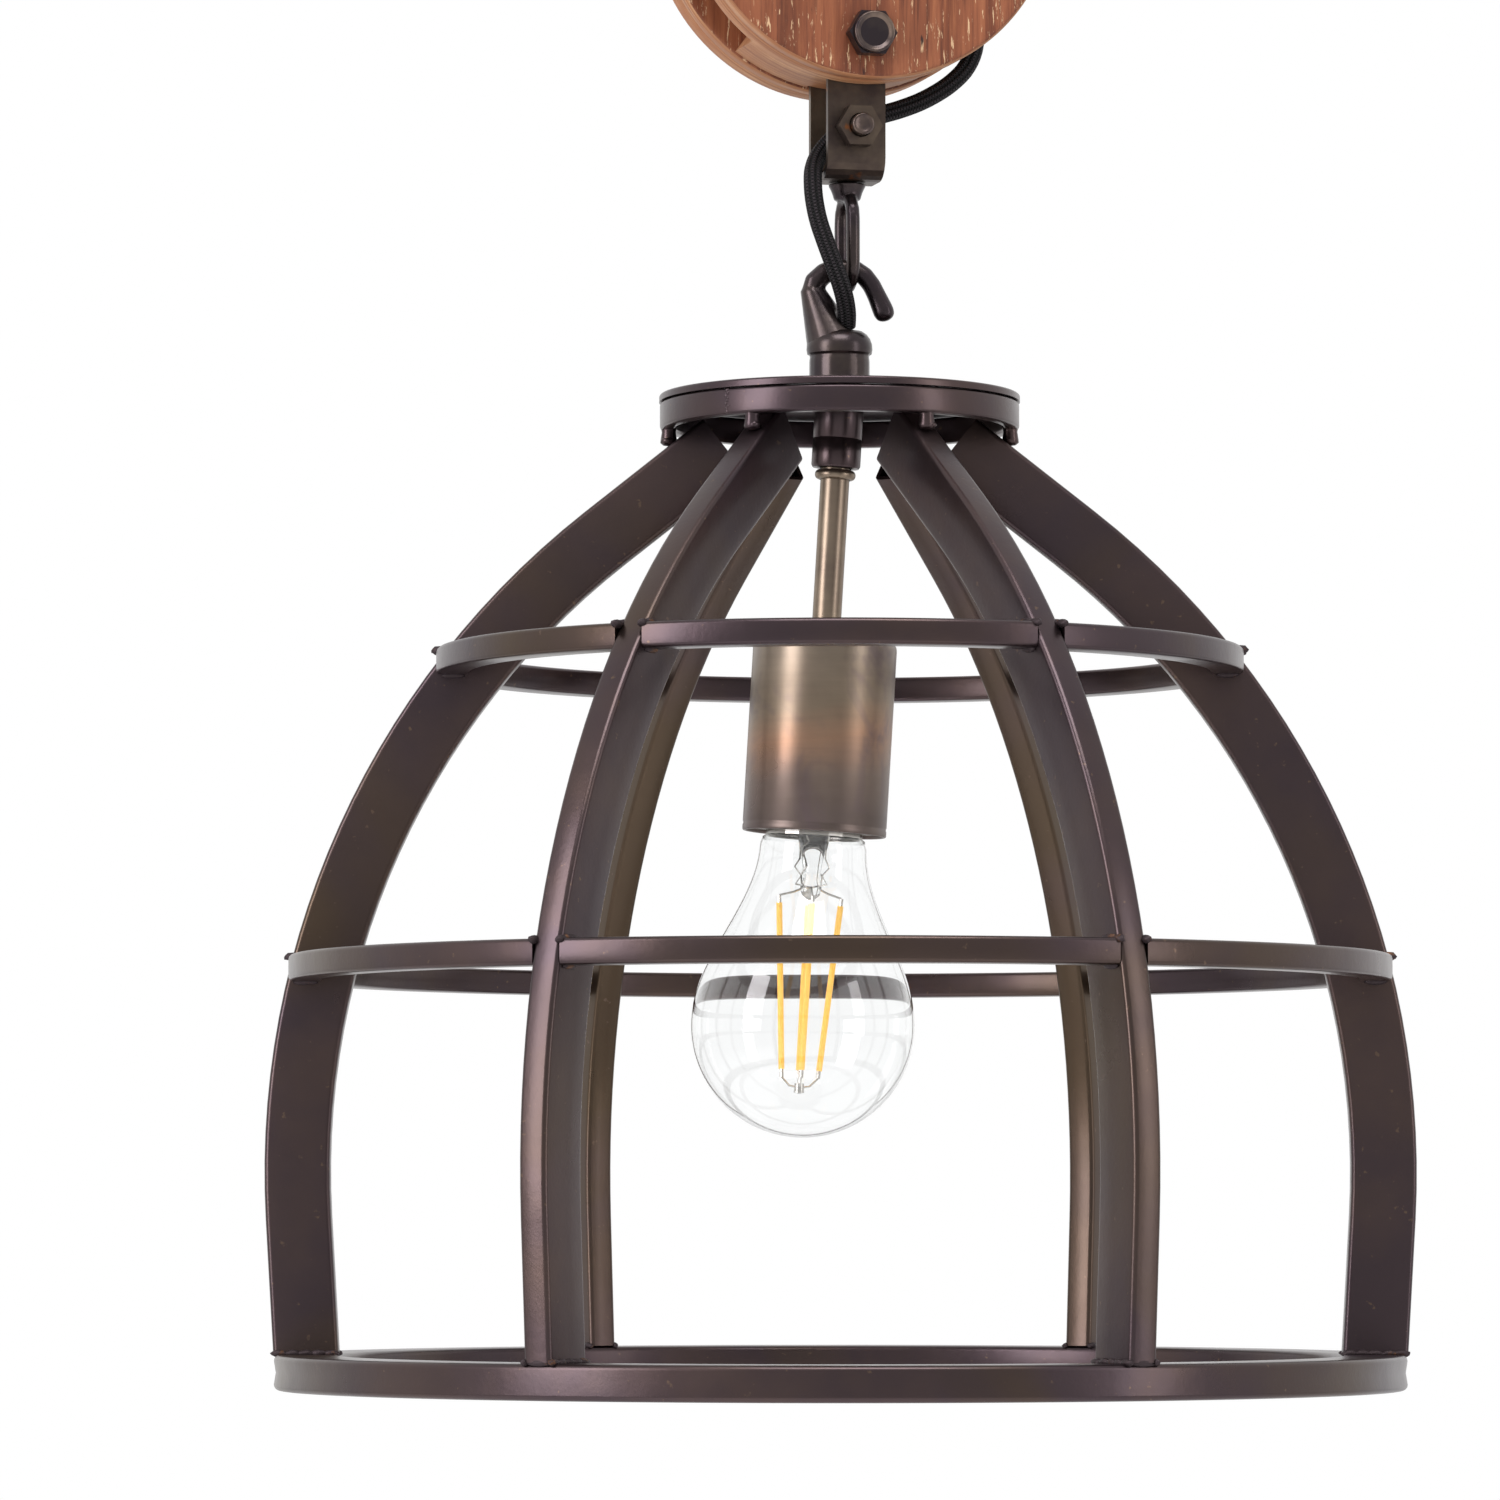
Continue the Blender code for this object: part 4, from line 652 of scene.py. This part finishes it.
def cord_mesh(name, route, length):
    """A tube with its own coordinates, round and along, for the braid."""
    shape = bmesh.new()
    layer = shape.loops.layers.uv.new("braid")
    up = Vector((1, 0, 0))
    rows = []
    for i, point in enumerate(route):
        way = (route[min(i + 1, len(route) - 1)] - route[max(i - 1, 0)]).normalized()
        side = up.cross(way).normalized()
        up = way.cross(side).normalized()
        rows.append([shape.verts.new(point + (side * math.cos(a) + up * math.sin(a)) * CORD_RADIUS)
                     for a in (math.tau * k / CORD_SIDES for k in range(CORD_SIDES))])
    turns = length / (math.tau * CORD_RADIUS)
    for i, (first, second) in enumerate(zip(rows, rows[1:])):
        for k in range(CORD_SIDES):
            n = (k + 1) % CORD_SIDES
            face = shape.faces.new((first[k], first[n], second[n], second[k]))
            for loop, (a, b) in zip(face.loops, ((k, i), (k + 1, i), (k + 1, i + 1), (k, i + 1))):
                loop[layer].uv = (a / CORD_SIDES, b / (len(rows) - 1) * turns)
    shape.faces.new(rows[0])
    shape.faces.new(rows[-1])
    return mesh_from(name, shape)


def build_cords():
    """The two hanging stretches, and the lead inside the rose."""
    for node, points in (("cord_upper", UPPER_CORD), ("cord_lower", LOWER_CORD)):
        route, length = smooth_route(points, CORD_STEP)
        cord = make(f"{node}_braid", cord_mesh(node, route, length), "black_textile", None, (node,))
        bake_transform(cord)
    route, length = smooth_route(CEILING_LEAD, CORD_STEP)
    lead = cord_mesh("ceiling_lead", route, length)
    make("ceiling_lead_braid", lead, "black_textile", "ceiling_fitting", ("ceiling_lead",))


# ---------------------------------------------------------------- cage

def lamp_space(angle=0.0):
    return Matrix.Translation(AXIS) @ Matrix.Rotation(angle, 4, "Z")


def rib_stations():
    """(centre radius, centre height, slope angle) up the rib's middle line."""
    centre = (RIB_WIDEST - RIB_BEND_RADIUS, -RIB_WIDEST_DROP)
    middle_radius = RIB_BEND_RADIUS - RIB_DEPTH / 2
    stations = []
    for i in range(RIB_STEPS + 1):
        angle = RIB_FOOT_ANGLE + (RIB_TOP_ANGLE - RIB_FOOT_ANGLE) * i / RIB_STEPS
        stations.append((centre[0] + middle_radius * math.cos(angle),
                         centre[1] + middle_radius * math.sin(angle), angle))
    foot = stations[0]
    drop = foot[1] + BOTTOM_RING_DROP - GAP
    stations.insert(0, (foot[0] + drop * math.tan(RIB_FOOT_ANGLE), -BOTTOM_RING_DROP + GAP, 0.0))
    last = stations[-1]
    stations.append((last[0] - math.sin(RIB_TOP_ANGLE) * RIB_TOP_RUN,
                     last[1] + math.cos(RIB_TOP_ANGLE) * RIB_TOP_RUN, RIB_TOP_ANGLE))
    return stations


def rib_ring(station, section, space):
    radius, height, angle = station
    out = Vector((math.cos(angle), 0, math.sin(angle)))
    return [space @ (Vector((radius, 0, height)) + out * x + Vector((0, y, 0))) for x, y in section]


def build_ribs():
    """Bent rectangular tubes, spread evenly round the lamp."""
    half_depth, half_width = RIB_DEPTH / 2, RIB_WIDTH / 2
    outside = soft_rectangle(-half_depth, half_depth, -half_width, half_width, 1.3 * MM, 4)
    inside = soft_rectangle(-half_depth + RIB_WALL, half_depth - RIB_WALL, -half_width + RIB_WALL,
                            half_width - RIB_WALL, 0.5 * MM, 4)
    stations = rib_stations()
    for i in range(RIB_COUNT):
        space = lamp_space(math.tau * i / RIB_COUNT)
        rings = [rib_ring(station, outside, space) for station in stations]
        rings += [rib_ring(station, inside, space) for station in reversed(stations)]
        shape = bmesh.new()
        skin(shape, rings, cyclic=True)
        look = "browned_steel" if math.sin(math.tau * i / RIB_COUNT) > 0.5 else "blackened_steel"
        make(f"rib_{i + 1}_tube", mesh_from("rib", shape), look, "lamp", (f"rib_{i + 1}",),
             sharp=50)


def build_hoops():
    """Six arcs in each hoop, from rib side to rib side, with a weld fillet at each end."""
    welds = bmesh.new()
    for node, (radius, drop) in HOOPS.items():
        section = soft_rectangle(radius - HOOP_WIDTH, radius, -drop - HOOP_HEIGHT, -drop, 1.1 * MM, 3)
        shape = bmesh.new()
        steps = 26
        for i in range(RIB_COUNT):
            start = math.tau * i / RIB_COUNT
            rings = []
            for k in range(steps + 1):
                ring = []
                for r, z in section:
                    edge = math.asin((RIB_WIDTH / 2 + 0.05 * MM) / r)
                    a = start + edge + (math.tau / RIB_COUNT - 2 * edge) * k / steps
                    ring.append(AXIS + Vector((r * math.cos(a), r * math.sin(a), z)))
                rings.append(ring)
            skin(shape, rings)
            for side in (-1, 1):
                space = lamp_space(start) @ Matrix.Translation((0, side * RIB_WIDTH / 2, 0))
                outer = (radius - 1.2 * MM, 0, -drop - 0.3 * MM)
                over = (radius - HOOP_WIDTH * 0.55, 0, -drop + 0.1 * MM)
                under = (radius - HOOP_WIDTH * 0.5, 0, -drop - HOOP_HEIGHT)
                add_weld(welds, space, outer, (2.6, 1.2, 1.2), i + side)
                add_weld(welds, space, over, (3.4, 1.3, 1.1), 7 * i + side)
                add_weld(welds, space, under, (3.4, 1.3, 1.1), 5 * i + side)
        make(f"{node}_arcs", mesh_from(node, shape), "blackened_steel", "lamp", (node,), sharp=50)
    make("hoop_welds", mesh_from("hoop_welds", welds), "weld_rust", "lamp",
         sharp=80)


def add_weld(shape, space, centre, radii, seed):
    """A lumpy bead: a squashed ball, pushed about by noise."""
    made = bmesh.ops.create_icosphere(shape, subdivisions=2, radius=1)
    shift = Vector((seed * 3.7, seed * 1.3, seed * 2.1))
    for vertex in made["verts"]:
        lump = 1 + 0.28 * noise.noise(vertex.co * 1.7 + shift)
        pushed = Vector([part * radius for part, radius in zip(vertex.co, radii)]) * MM * lump
        vertex.co = space @ (Vector(centre) + pushed)


def build_rings():
    """The bottom ring, and the top ring with its seam."""
    outer = RIB_WIDEST - 3 * MM
    inner = outer - RIB_DEPTH
    top = -BOTTOM_RING_DROP
    bottom = top - BOTTOM_RING_HEIGHT
    section = soft_rectangle(inner, outer, bottom, top, 1.5 * MM, 4)
    section.append((outer - 0.5 * MM, (top + bottom) / 2))
    turned("bottom_ring_tube", section, lamp_space(), "blackened_steel", "lamp", ("bottom_ring",),
           FINE, sharp=50)
    ring_section = soft_rectangle(TOP_RING_RADIUS - 4.2 * MM, TOP_RING_RADIUS, -TOP_RING_HEIGHT,
                                  -PLATE_THICKNESS - 0.2 * MM, 0.9 * MM, 3)
    shape = bmesh.new()
    lathe(shape, ring_section, lamp_space(), 120)
    seam = lamp_space(math.radians(-128))
    for k in range(9):
        bead = (TOP_RING_RADIUS - 0.7 * MM, 0.4 * MM * math.sin(k * 2.3), -2.8 * MM - k * 0.7 * MM)
        add_weld(shape, seam, bead, (0.9, 0.9, 0.8), k + 40)
    make("top_ring_band", mesh_from("top_ring_band", shape), "blackened_steel", "lamp", ("top_ring",),
         sharp=60)
    hole = 5 * MM
    edge = TOP_RING_RADIUS + 0.2 * MM
    plate = arc((edge - 0.7 * MM, -0.7 * MM), 0.7 * MM, math.pi / 2, 0, 4)
    plate += [(edge, -PLATE_THICKNESS), (hole, -PLATE_THICKNESS), (hole, 0)]
    turned("top_plate_disc", plate, lamp_space(), "blackened_steel", "lamp", ("top_plate",), 120)


def build_welds():
    """The pegs under the top ring and the beads where the ribs stand on the bottom ring."""
    pegs = bmesh.new()
    feet = bmesh.new()
    stations = rib_stations()
    foot = stations[0]
    for i in range(RIB_COUNT):
        space = lamp_space(math.tau * i / RIB_COUNT)
        peg = space @ Matrix.Translation((WELD_AT, 0, 0))
        low = -TOP_RING_HEIGHT - 4.2 * MM
        outline = [(0, 0.6 * MM - TOP_RING_HEIGHT), (2.1 * MM, 0.5 * MM - TOP_RING_HEIGHT),
                   (1.9 * MM, -0.6 * MM - TOP_RING_HEIGHT), (2.2 * MM, low + 1.6 * MM),
                   (2.3 * MM, low + 0.7 * MM), (1.5 * MM, low), (0, low - 0.2 * MM)]
        lathe(pegs, outline, peg, 20, closed=False)
        add_weld(pegs, peg, (0.3 * MM, 0.9 * MM, low + 1.2 * MM), (2.0, 1.7, 1.1), i + 3)
        for side in (-1, 1):
            for k in range(5):
                across = foot[0] - RIB_DEPTH / 2 + RIB_DEPTH * (k + 0.5) / 5
                add_weld(feet, space, (across, side * RIB_WIDTH / 2, -BOTTOM_RING_DROP + 0.3 * MM),
                         (2.4, 1.1, 1.0), 11 * i + 3 * k + side)
        add_weld(feet, space, (foot[0] + RIB_DEPTH / 2 - 0.7 * MM, 0, -BOTTOM_RING_DROP + 0.2 * MM),
                 (0.9, 3.6, 1.0), i + 90)
    make("top_weld_pegs", mesh_from("top_weld_pegs", pegs), "blackened_steel", "lamp", sharp=70)
    make("foot_welds", mesh_from("foot_welds", feet), "weld_rust", "lamp",
         sharp=80)


# ---------------------------------------------------------------- stem, lampholder and bulb

# Radii and heights are in millimetres here; heights run down from the plate's underside.

COVER_RADIUS, COVER_TOP, COVER_BOTTOM, COVER_WALL = 19.35, -64.0, -116.5, 0.9
COVER_SHOULDER = 2.2
BULB_SHOULDER, BULB_TIP, BULB_RADIUS, BULB_NECK, BULB_WALL = -117.9, -198.0, 30.0, 14.4, 0.4
FILAMENT_COUNT = 4
FILAMENT_TOP, FILAMENT_BOTTOM = -133.5, -182.0
FILAMENT_SPREAD = (8.4, 4.9)      # from the bulb's axis, at the top and at the bottom


def scaled(outline):
    return [(r * MM, z * MM) for r, z in outline]


def round_axis(radius, angle, height):
    """A point in metres from a radius, an angle and a height in millimetres."""
    return Vector((radius * math.cos(angle), radius * math.sin(angle), height)) * MM


def stem_space():
    """The frame of the stem, which leans a little."""
    under_plate = AXIS - Vector((0, 0, PLATE_THICKNESS))
    return Matrix.Translation(under_plate) @ Matrix.Rotation(STEM_LEAN, 4, "Y")


def build_stem():
    """The collar with a scribed line, the rounded lock ring and the tube."""
    space = stem_space()
    collar = [(6.6, -0.8), (6.6, -9.6), (6.45, -9.8), (6.6, -10.0), (6.6, -17.0), (6.2, -17.7),
              (4.3, -17.9), (4.3, -0.8)]
    turned("stem_collar_turned", scaled(collar), space, "blackened_steel", "lamp", ("stem_collar",),
           48, sharp=50)
    ring = [(4.25, -18.2)] + [(5.5 - 1.2 * (1 - math.cos(a)) * 0.9, -19.55 + 1.3 * math.sin(a))
                              for a in [math.radians(90 - 20 * k) for k in range(10)]] + [(4.25, -20.9)]
    turned("stem_lock_ring_turned", scaled(ring), space, "antique_brass", "lamp",
           ("stem_lock_ring",), 48)
    tube = [(3.9, -11.5), (3.9, -71.0), (2.9, -71.0), (2.9, -11.5)]
    turned("stem_tube_smooth", scaled(tube), space, "antique_brass", "lamp", ("stem_tube",), 48)


def build_cover():
    """The spun cover: a soft shoulder, a plain wall and a rim rolled outwards a little."""
    radius, bottom, edge = COVER_RADIUS, COVER_BOTTOM, COVER_WALL / 2
    corner = (radius - COVER_SHOULDER, COVER_TOP - COVER_SHOULDER)
    outline = [(4.3, COVER_TOP)] + arc(corner, COVER_SHOULDER, math.pi / 2, 0, 8)
    outline += [(radius, bottom + 2.6), (radius - 0.15, bottom + 2.3), (radius - 0.15, bottom + 1.9),
                (radius, bottom + 1.5)]
    outline += arc((radius - edge, bottom + edge), edge, 0, -math.pi, 6)
    outline += arc(corner, COVER_SHOULDER - COVER_WALL, 0, math.pi / 2, 6)
    outline.append((4.3, COVER_TOP - COVER_WALL))
    turned("socket_cover_spun", scaled(outline), stem_space(), "cover_brass", "lamp",
           ("socket_cover",), 96, sharp=50)


def build_bulb():
    """The glass: a swelling neck over a round end, and an even wall inside it."""
    space = stem_space()
    neck, shoulder = BULB_NECK, BULB_SHOULDER
    widest = BULB_TIP + BULB_RADIUS
    steps = 22
    outside = [(12.1, shoulder + 13), (12.1, shoulder + 1.2), (neck - 0.6, shoulder)]
    start = shoulder - 2
    for i in range(steps + 1):
        share = i / steps
        swing = (1 - math.cos(math.pi * share)) / 2
        outside.append((neck + (BULB_RADIUS - neck) * swing ** 0.95, start + (widest - start) * share))
    outside += arc((0, widest), BULB_RADIUS, 0, -math.pi / 2, 26)[1:-1] + [(0, BULB_TIP)]
    inside = [(0, BULB_TIP + BULB_WALL)]
    for i in range(len(outside) - 2, 0, -1):
        run = (Vector(outside[i + 1]) - Vector(outside[i - 1])).normalized()
        inside.append((outside[i][0] + run.y * BULB_WALL, outside[i][1] - run.x * BULB_WALL))
    inside.append((outside[0][0] - BULB_WALL, outside[0][1]))
    turned("bulb_glass_blown", scaled(outside + inside), space, "clear_glass", "lamp",
           ("bulb_glass",), 96, sharp=80)
    flare = [(0, 4), (4.4, 4), (4.2, 1), (3.3, -3), (2.6, -7), (2.3, -11), (2.9, -13), (2.4, -15.2),
             (1.1, -16.3), (0, -16.5)]
    mount = scaled([(radius, shoulder + height) for radius, height in flare])
    turned("glass_mount_blown", mount, space, "mount_glass", "lamp", ("glass_mount",), 40, closed=False,
           sharp=80)
    build_filaments(space)


def build_filaments(space):
    """Four coated filaments in a narrowing cage, their end caps, and the wires that hold them."""
    sticks, wires = bmesh.new(), bmesh.new()

    def wire(points, radius, sides=8):
        bent_tube(wires, [space @ p for p in points], radius * MM, sides)

    for k in range(FILAMENT_COUNT):
        a = math.tau * (k + 0.05) / FILAMENT_COUNT
        high = round_axis(FILAMENT_SPREAD[0], a, FILAMENT_TOP)
        low = round_axis(FILAMENT_SPREAD[1], a, FILAMENT_BOTTOM)
        way = (low - high).normalized()
        bent_tube(sticks, [space @ (high + way * d * MM) for d in (2, 17, 32, 46.5)], 0.8 * MM, 12)
        for end, side in ((high, 1), (low, -1)):
            wire([end + way * d * MM * side for d in (0, 1, 2.2)], 0.55)
        seal = round_axis(1.6, a, -131.0)
        knee = round_axis(4.6, a, -132.4)
        crinkle = [round_axis(4.0 + 0.9 * (j % 2), a + 0.7 + 0.25 * (j % 3), -114 - 2.3 * j)
                   for j in range(8)]
        wire(crinkle + [seal], 0.24, 6)
        wire((seal, knee, high), 0.28)
        hub = round_axis(0.6, a, -184.6)
        wire((low, (low + hub) / 2 - Vector((0, 0, 0.9 * MM)), hub), 0.28)
    wire([Vector((0, 0, z)) * MM for z in (-133.5, -150, -167, -185)], 0.32)
    hub_disc = scaled([(0, -183.4), (1.3, -183.5), (1.4, -186.0), (0, -186.3)])
    lathe(wires, hub_disc, space, 16, closed=False)
    make("filament_sticks", mesh_from("filament_sticks", sticks), "filament_yellow", "lamp",
         ("filaments",))
    make("filament_wires", mesh_from("filament_wires", wires), "nickel", "lamp")


# ---------------------------------------------------------------- pulley block

def block_space(out=0.0):
    """The block's frame: X along its width, Y to its back, centred on the sheave or out from it."""
    return Matrix.Translation(BLOCK) @ Matrix.Rotation(BLOCK_YAW, 4, "Z") @ Matrix.Translation((0, out, 0))


def build_cheeks():
    """Turned discs: painted faces, a worn edge, and a bare rim."""
    radius = BLOCK_RADIUS
    half = CHEEK_THICKNESS / 2
    to_side = Matrix.Rotation(math.pi / 2, 4, "X")
    for node, side in (("front_cheek", -1), ("back_cheek", 1)):
        space = block_space(out=side * (GROOVE_WIDTH + CHEEK_THICKNESS) / 2) @ to_side
        soft = 1.3 * MM
        outline = [(4.3 * MM, half), (radius - 9 * MM, half), (radius - 3 * MM, half - 0.05 * MM)]
        outline += arc((radius - soft, half - soft), soft, math.pi / 2, 0, 5)
        outline += [(radius, half - 4.2 * MM), (radius - 0.25 * MM, half - 4.5 * MM),
                    (radius, half - 4.8 * MM)]
        outline += arc((radius - soft, -half + soft), soft, 0, -math.pi / 2, 5)
        outline += [(radius - 9 * MM, -half), (4.3 * MM, -half)]
        disc = turned(f"{node}_turned", outline, space, "painted_wood", "pulley_block", (node,), 144)
        disc.data.materials.append(LOOKS["wood_rim"])
        centre = space.translation
        across = space.to_3x3() @ Vector((0, 0, 1))
        for face in disc.data.polygons:
            if abs(face.normal.dot(across)) < 0.72 and (face.center - centre).length > radius * 0.8:
                face.material_index = 1


def build_canopy():
    """The ceiling rose as a spun cup with a round corner, open to the ceiling."""
    radius = size_of("canopy").x / 2
    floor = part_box("canopy")[0][2]
    wall, corner = 1.2 * MM, 6 * MM
    rim = -0.3 * MM
    outline = [(CEILING_HOLE, floor)]
    outline += arc((radius - corner, floor + corner), corner, -math.pi / 2, 0, 8)
    outline += [(radius, rim), (radius - wall, rim)]
    outline += arc((radius - corner, floor + corner), corner - wall, 0, -math.pi / 2, 8)
    outline.append((CEILING_HOLE, floor + wall))
    turned("canopy_spun", outline, Matrix.Identity(4), "blackened_steel", "ceiling_fitting",
           ("canopy",), 120)


def build_hook_shoulder():
    """The rounded shoulder of the casting, over the groove of its base, and the swell of its foot."""
    shoulder = [(8.7, 11.2), (8.9, 12.4), (8.8, 13.8), (8.3, 15.2), (7.4, 16.4), (6.3, 17.2),
                (5.2, 17.4), (4.9, 11.4)]
    foot = [(8.25, 0.4), (8.55, 1.2), (8.6, 2.2), (8.3, 3.4), (8.15, 5.0), (6.0, 5.0), (6.0, 0.4)]
    for name, outline in (("lamp_hook_shoulder", shoulder), ("lamp_hook_foot", foot)):
        turned(name, scaled(outline), lamp_space(), "cast_iron_black", "lamp", steps=64, sharp=60)


def add_bolt_rims():
    """The raised rims, worn brown and painted lighter as a highlight ring: round the dished cheek bolts'
    heads and on the strap bolts' ends.
    """
    block = block_space()
    to_front = Matrix.Rotation(math.pi / 2, 4, "X")
    profiles = {
        "cheek": [(3.9, 0.0), (4.5, 0.35), (4.9, 0.62), (5.25, 0.66), (5.5, 0.45), (5.6, 0.0),
                  (5.55, -0.6), (4.2, -0.6)],
        "strap": [(0.0, 0.12), (1.5, 0.18), (2.1, 0.42), (2.5, 0.55), (2.85, 0.42), (3.0, 0.0),
                  (2.95, -0.5), (0.0, -0.5)],
    }
    for kind, profile in profiles.items():
        for half in ("lower", "upper"):
            bolt = NODES[f"{half}_{kind}_bolt"]
            points = [block.inverted() @ bolt.matrix_world @ v.co for v in bolt.data.vertices]
            front = min(p.y for p in points)
            near = [p for p in points if p.y < front + 0.05 * MM]
            centre = sum(near, Vector()) / len(near)
            space = block @ Matrix.Translation((centre.x, front, centre.z)) @ to_front
            turned(f"{half}_{kind}_bolt_rim", scaled(profile), space, "worn_cast_with_highlight", "pulley_block",
                   steps=48, closed=kind == "cheek", sharp=60)


def bevel(obj, width, segments=2):
    modifier = obj.modifiers.new("Edges", "BEVEL")
    modifier.width = width
    modifier.segments = segments
    modifier.limit_method = "ANGLE"
    modifier.angle_limit = math.radians(35)


def cast_over(obj, voxel, passes):
    """Blends the joined shapes of a casting: a fine remesh, then smoothing."""
    remesh = obj.modifiers.new("Cast", "REMESH")
    remesh.mode = "VOXEL"
    remesh.voxel_size = voxel
    remesh.use_smooth_shade = True
    smooth = obj.modifiers.new("Soft", "SMOOTH")
    smooth.factor = 0.5
    smooth.iterations = passes


def dress_frame():
    """Materials for every node, and softer edges for those that stay in view."""
    looks = {entry["node"]: entry["material_slot"] for entry in frame["record"]["subparts"]}
    for node, obj in NODES.items():
        look = LOOKS[looks[node]]
        obj.data.materials.clear()
        obj.data.materials.append(LOOKS["wood_rim"] if node.endswith("_filler") else look)
    for node in ("lamp_hook", "lower_eye", "upper_eye"):
        cast_over(NODES[node], 0.36 * MM, 20)
    for half in ("lower", "upper"):
        bevel(NODES[f"{half}_strap"], 0.45 * MM, 3)
        bevel(NODES[f"{half}_filler"], 0.4 * MM)
        for node in (f"{half}_strap_bolt", f"{half}_strap_nut", f"{half}_cheek_bolt", f"{half}_cheek_nut"):
            bevel(NODES[node], 0.35 * MM, 3)
    for node in ("axle_bolt", "axle_nut"):
        bevel(NODES[node], 0.35 * MM, 3)
    for node in ("mounting_bracket", "terminal_block", "ceiling_hook_nut", "cord_grip_nut", "cord_grip"):
        bevel(NODES[node], 0.3 * MM)


build_camera()
build_world()
build_stage()
dress_frame()
build_cords()
build_ribs()
build_hoops()
build_rings()
build_welds()
build_stem()
build_cover()
build_bulb()
build_cheeks()
add_bolt_rims()
build_hook_shoulder()
build_canopy()
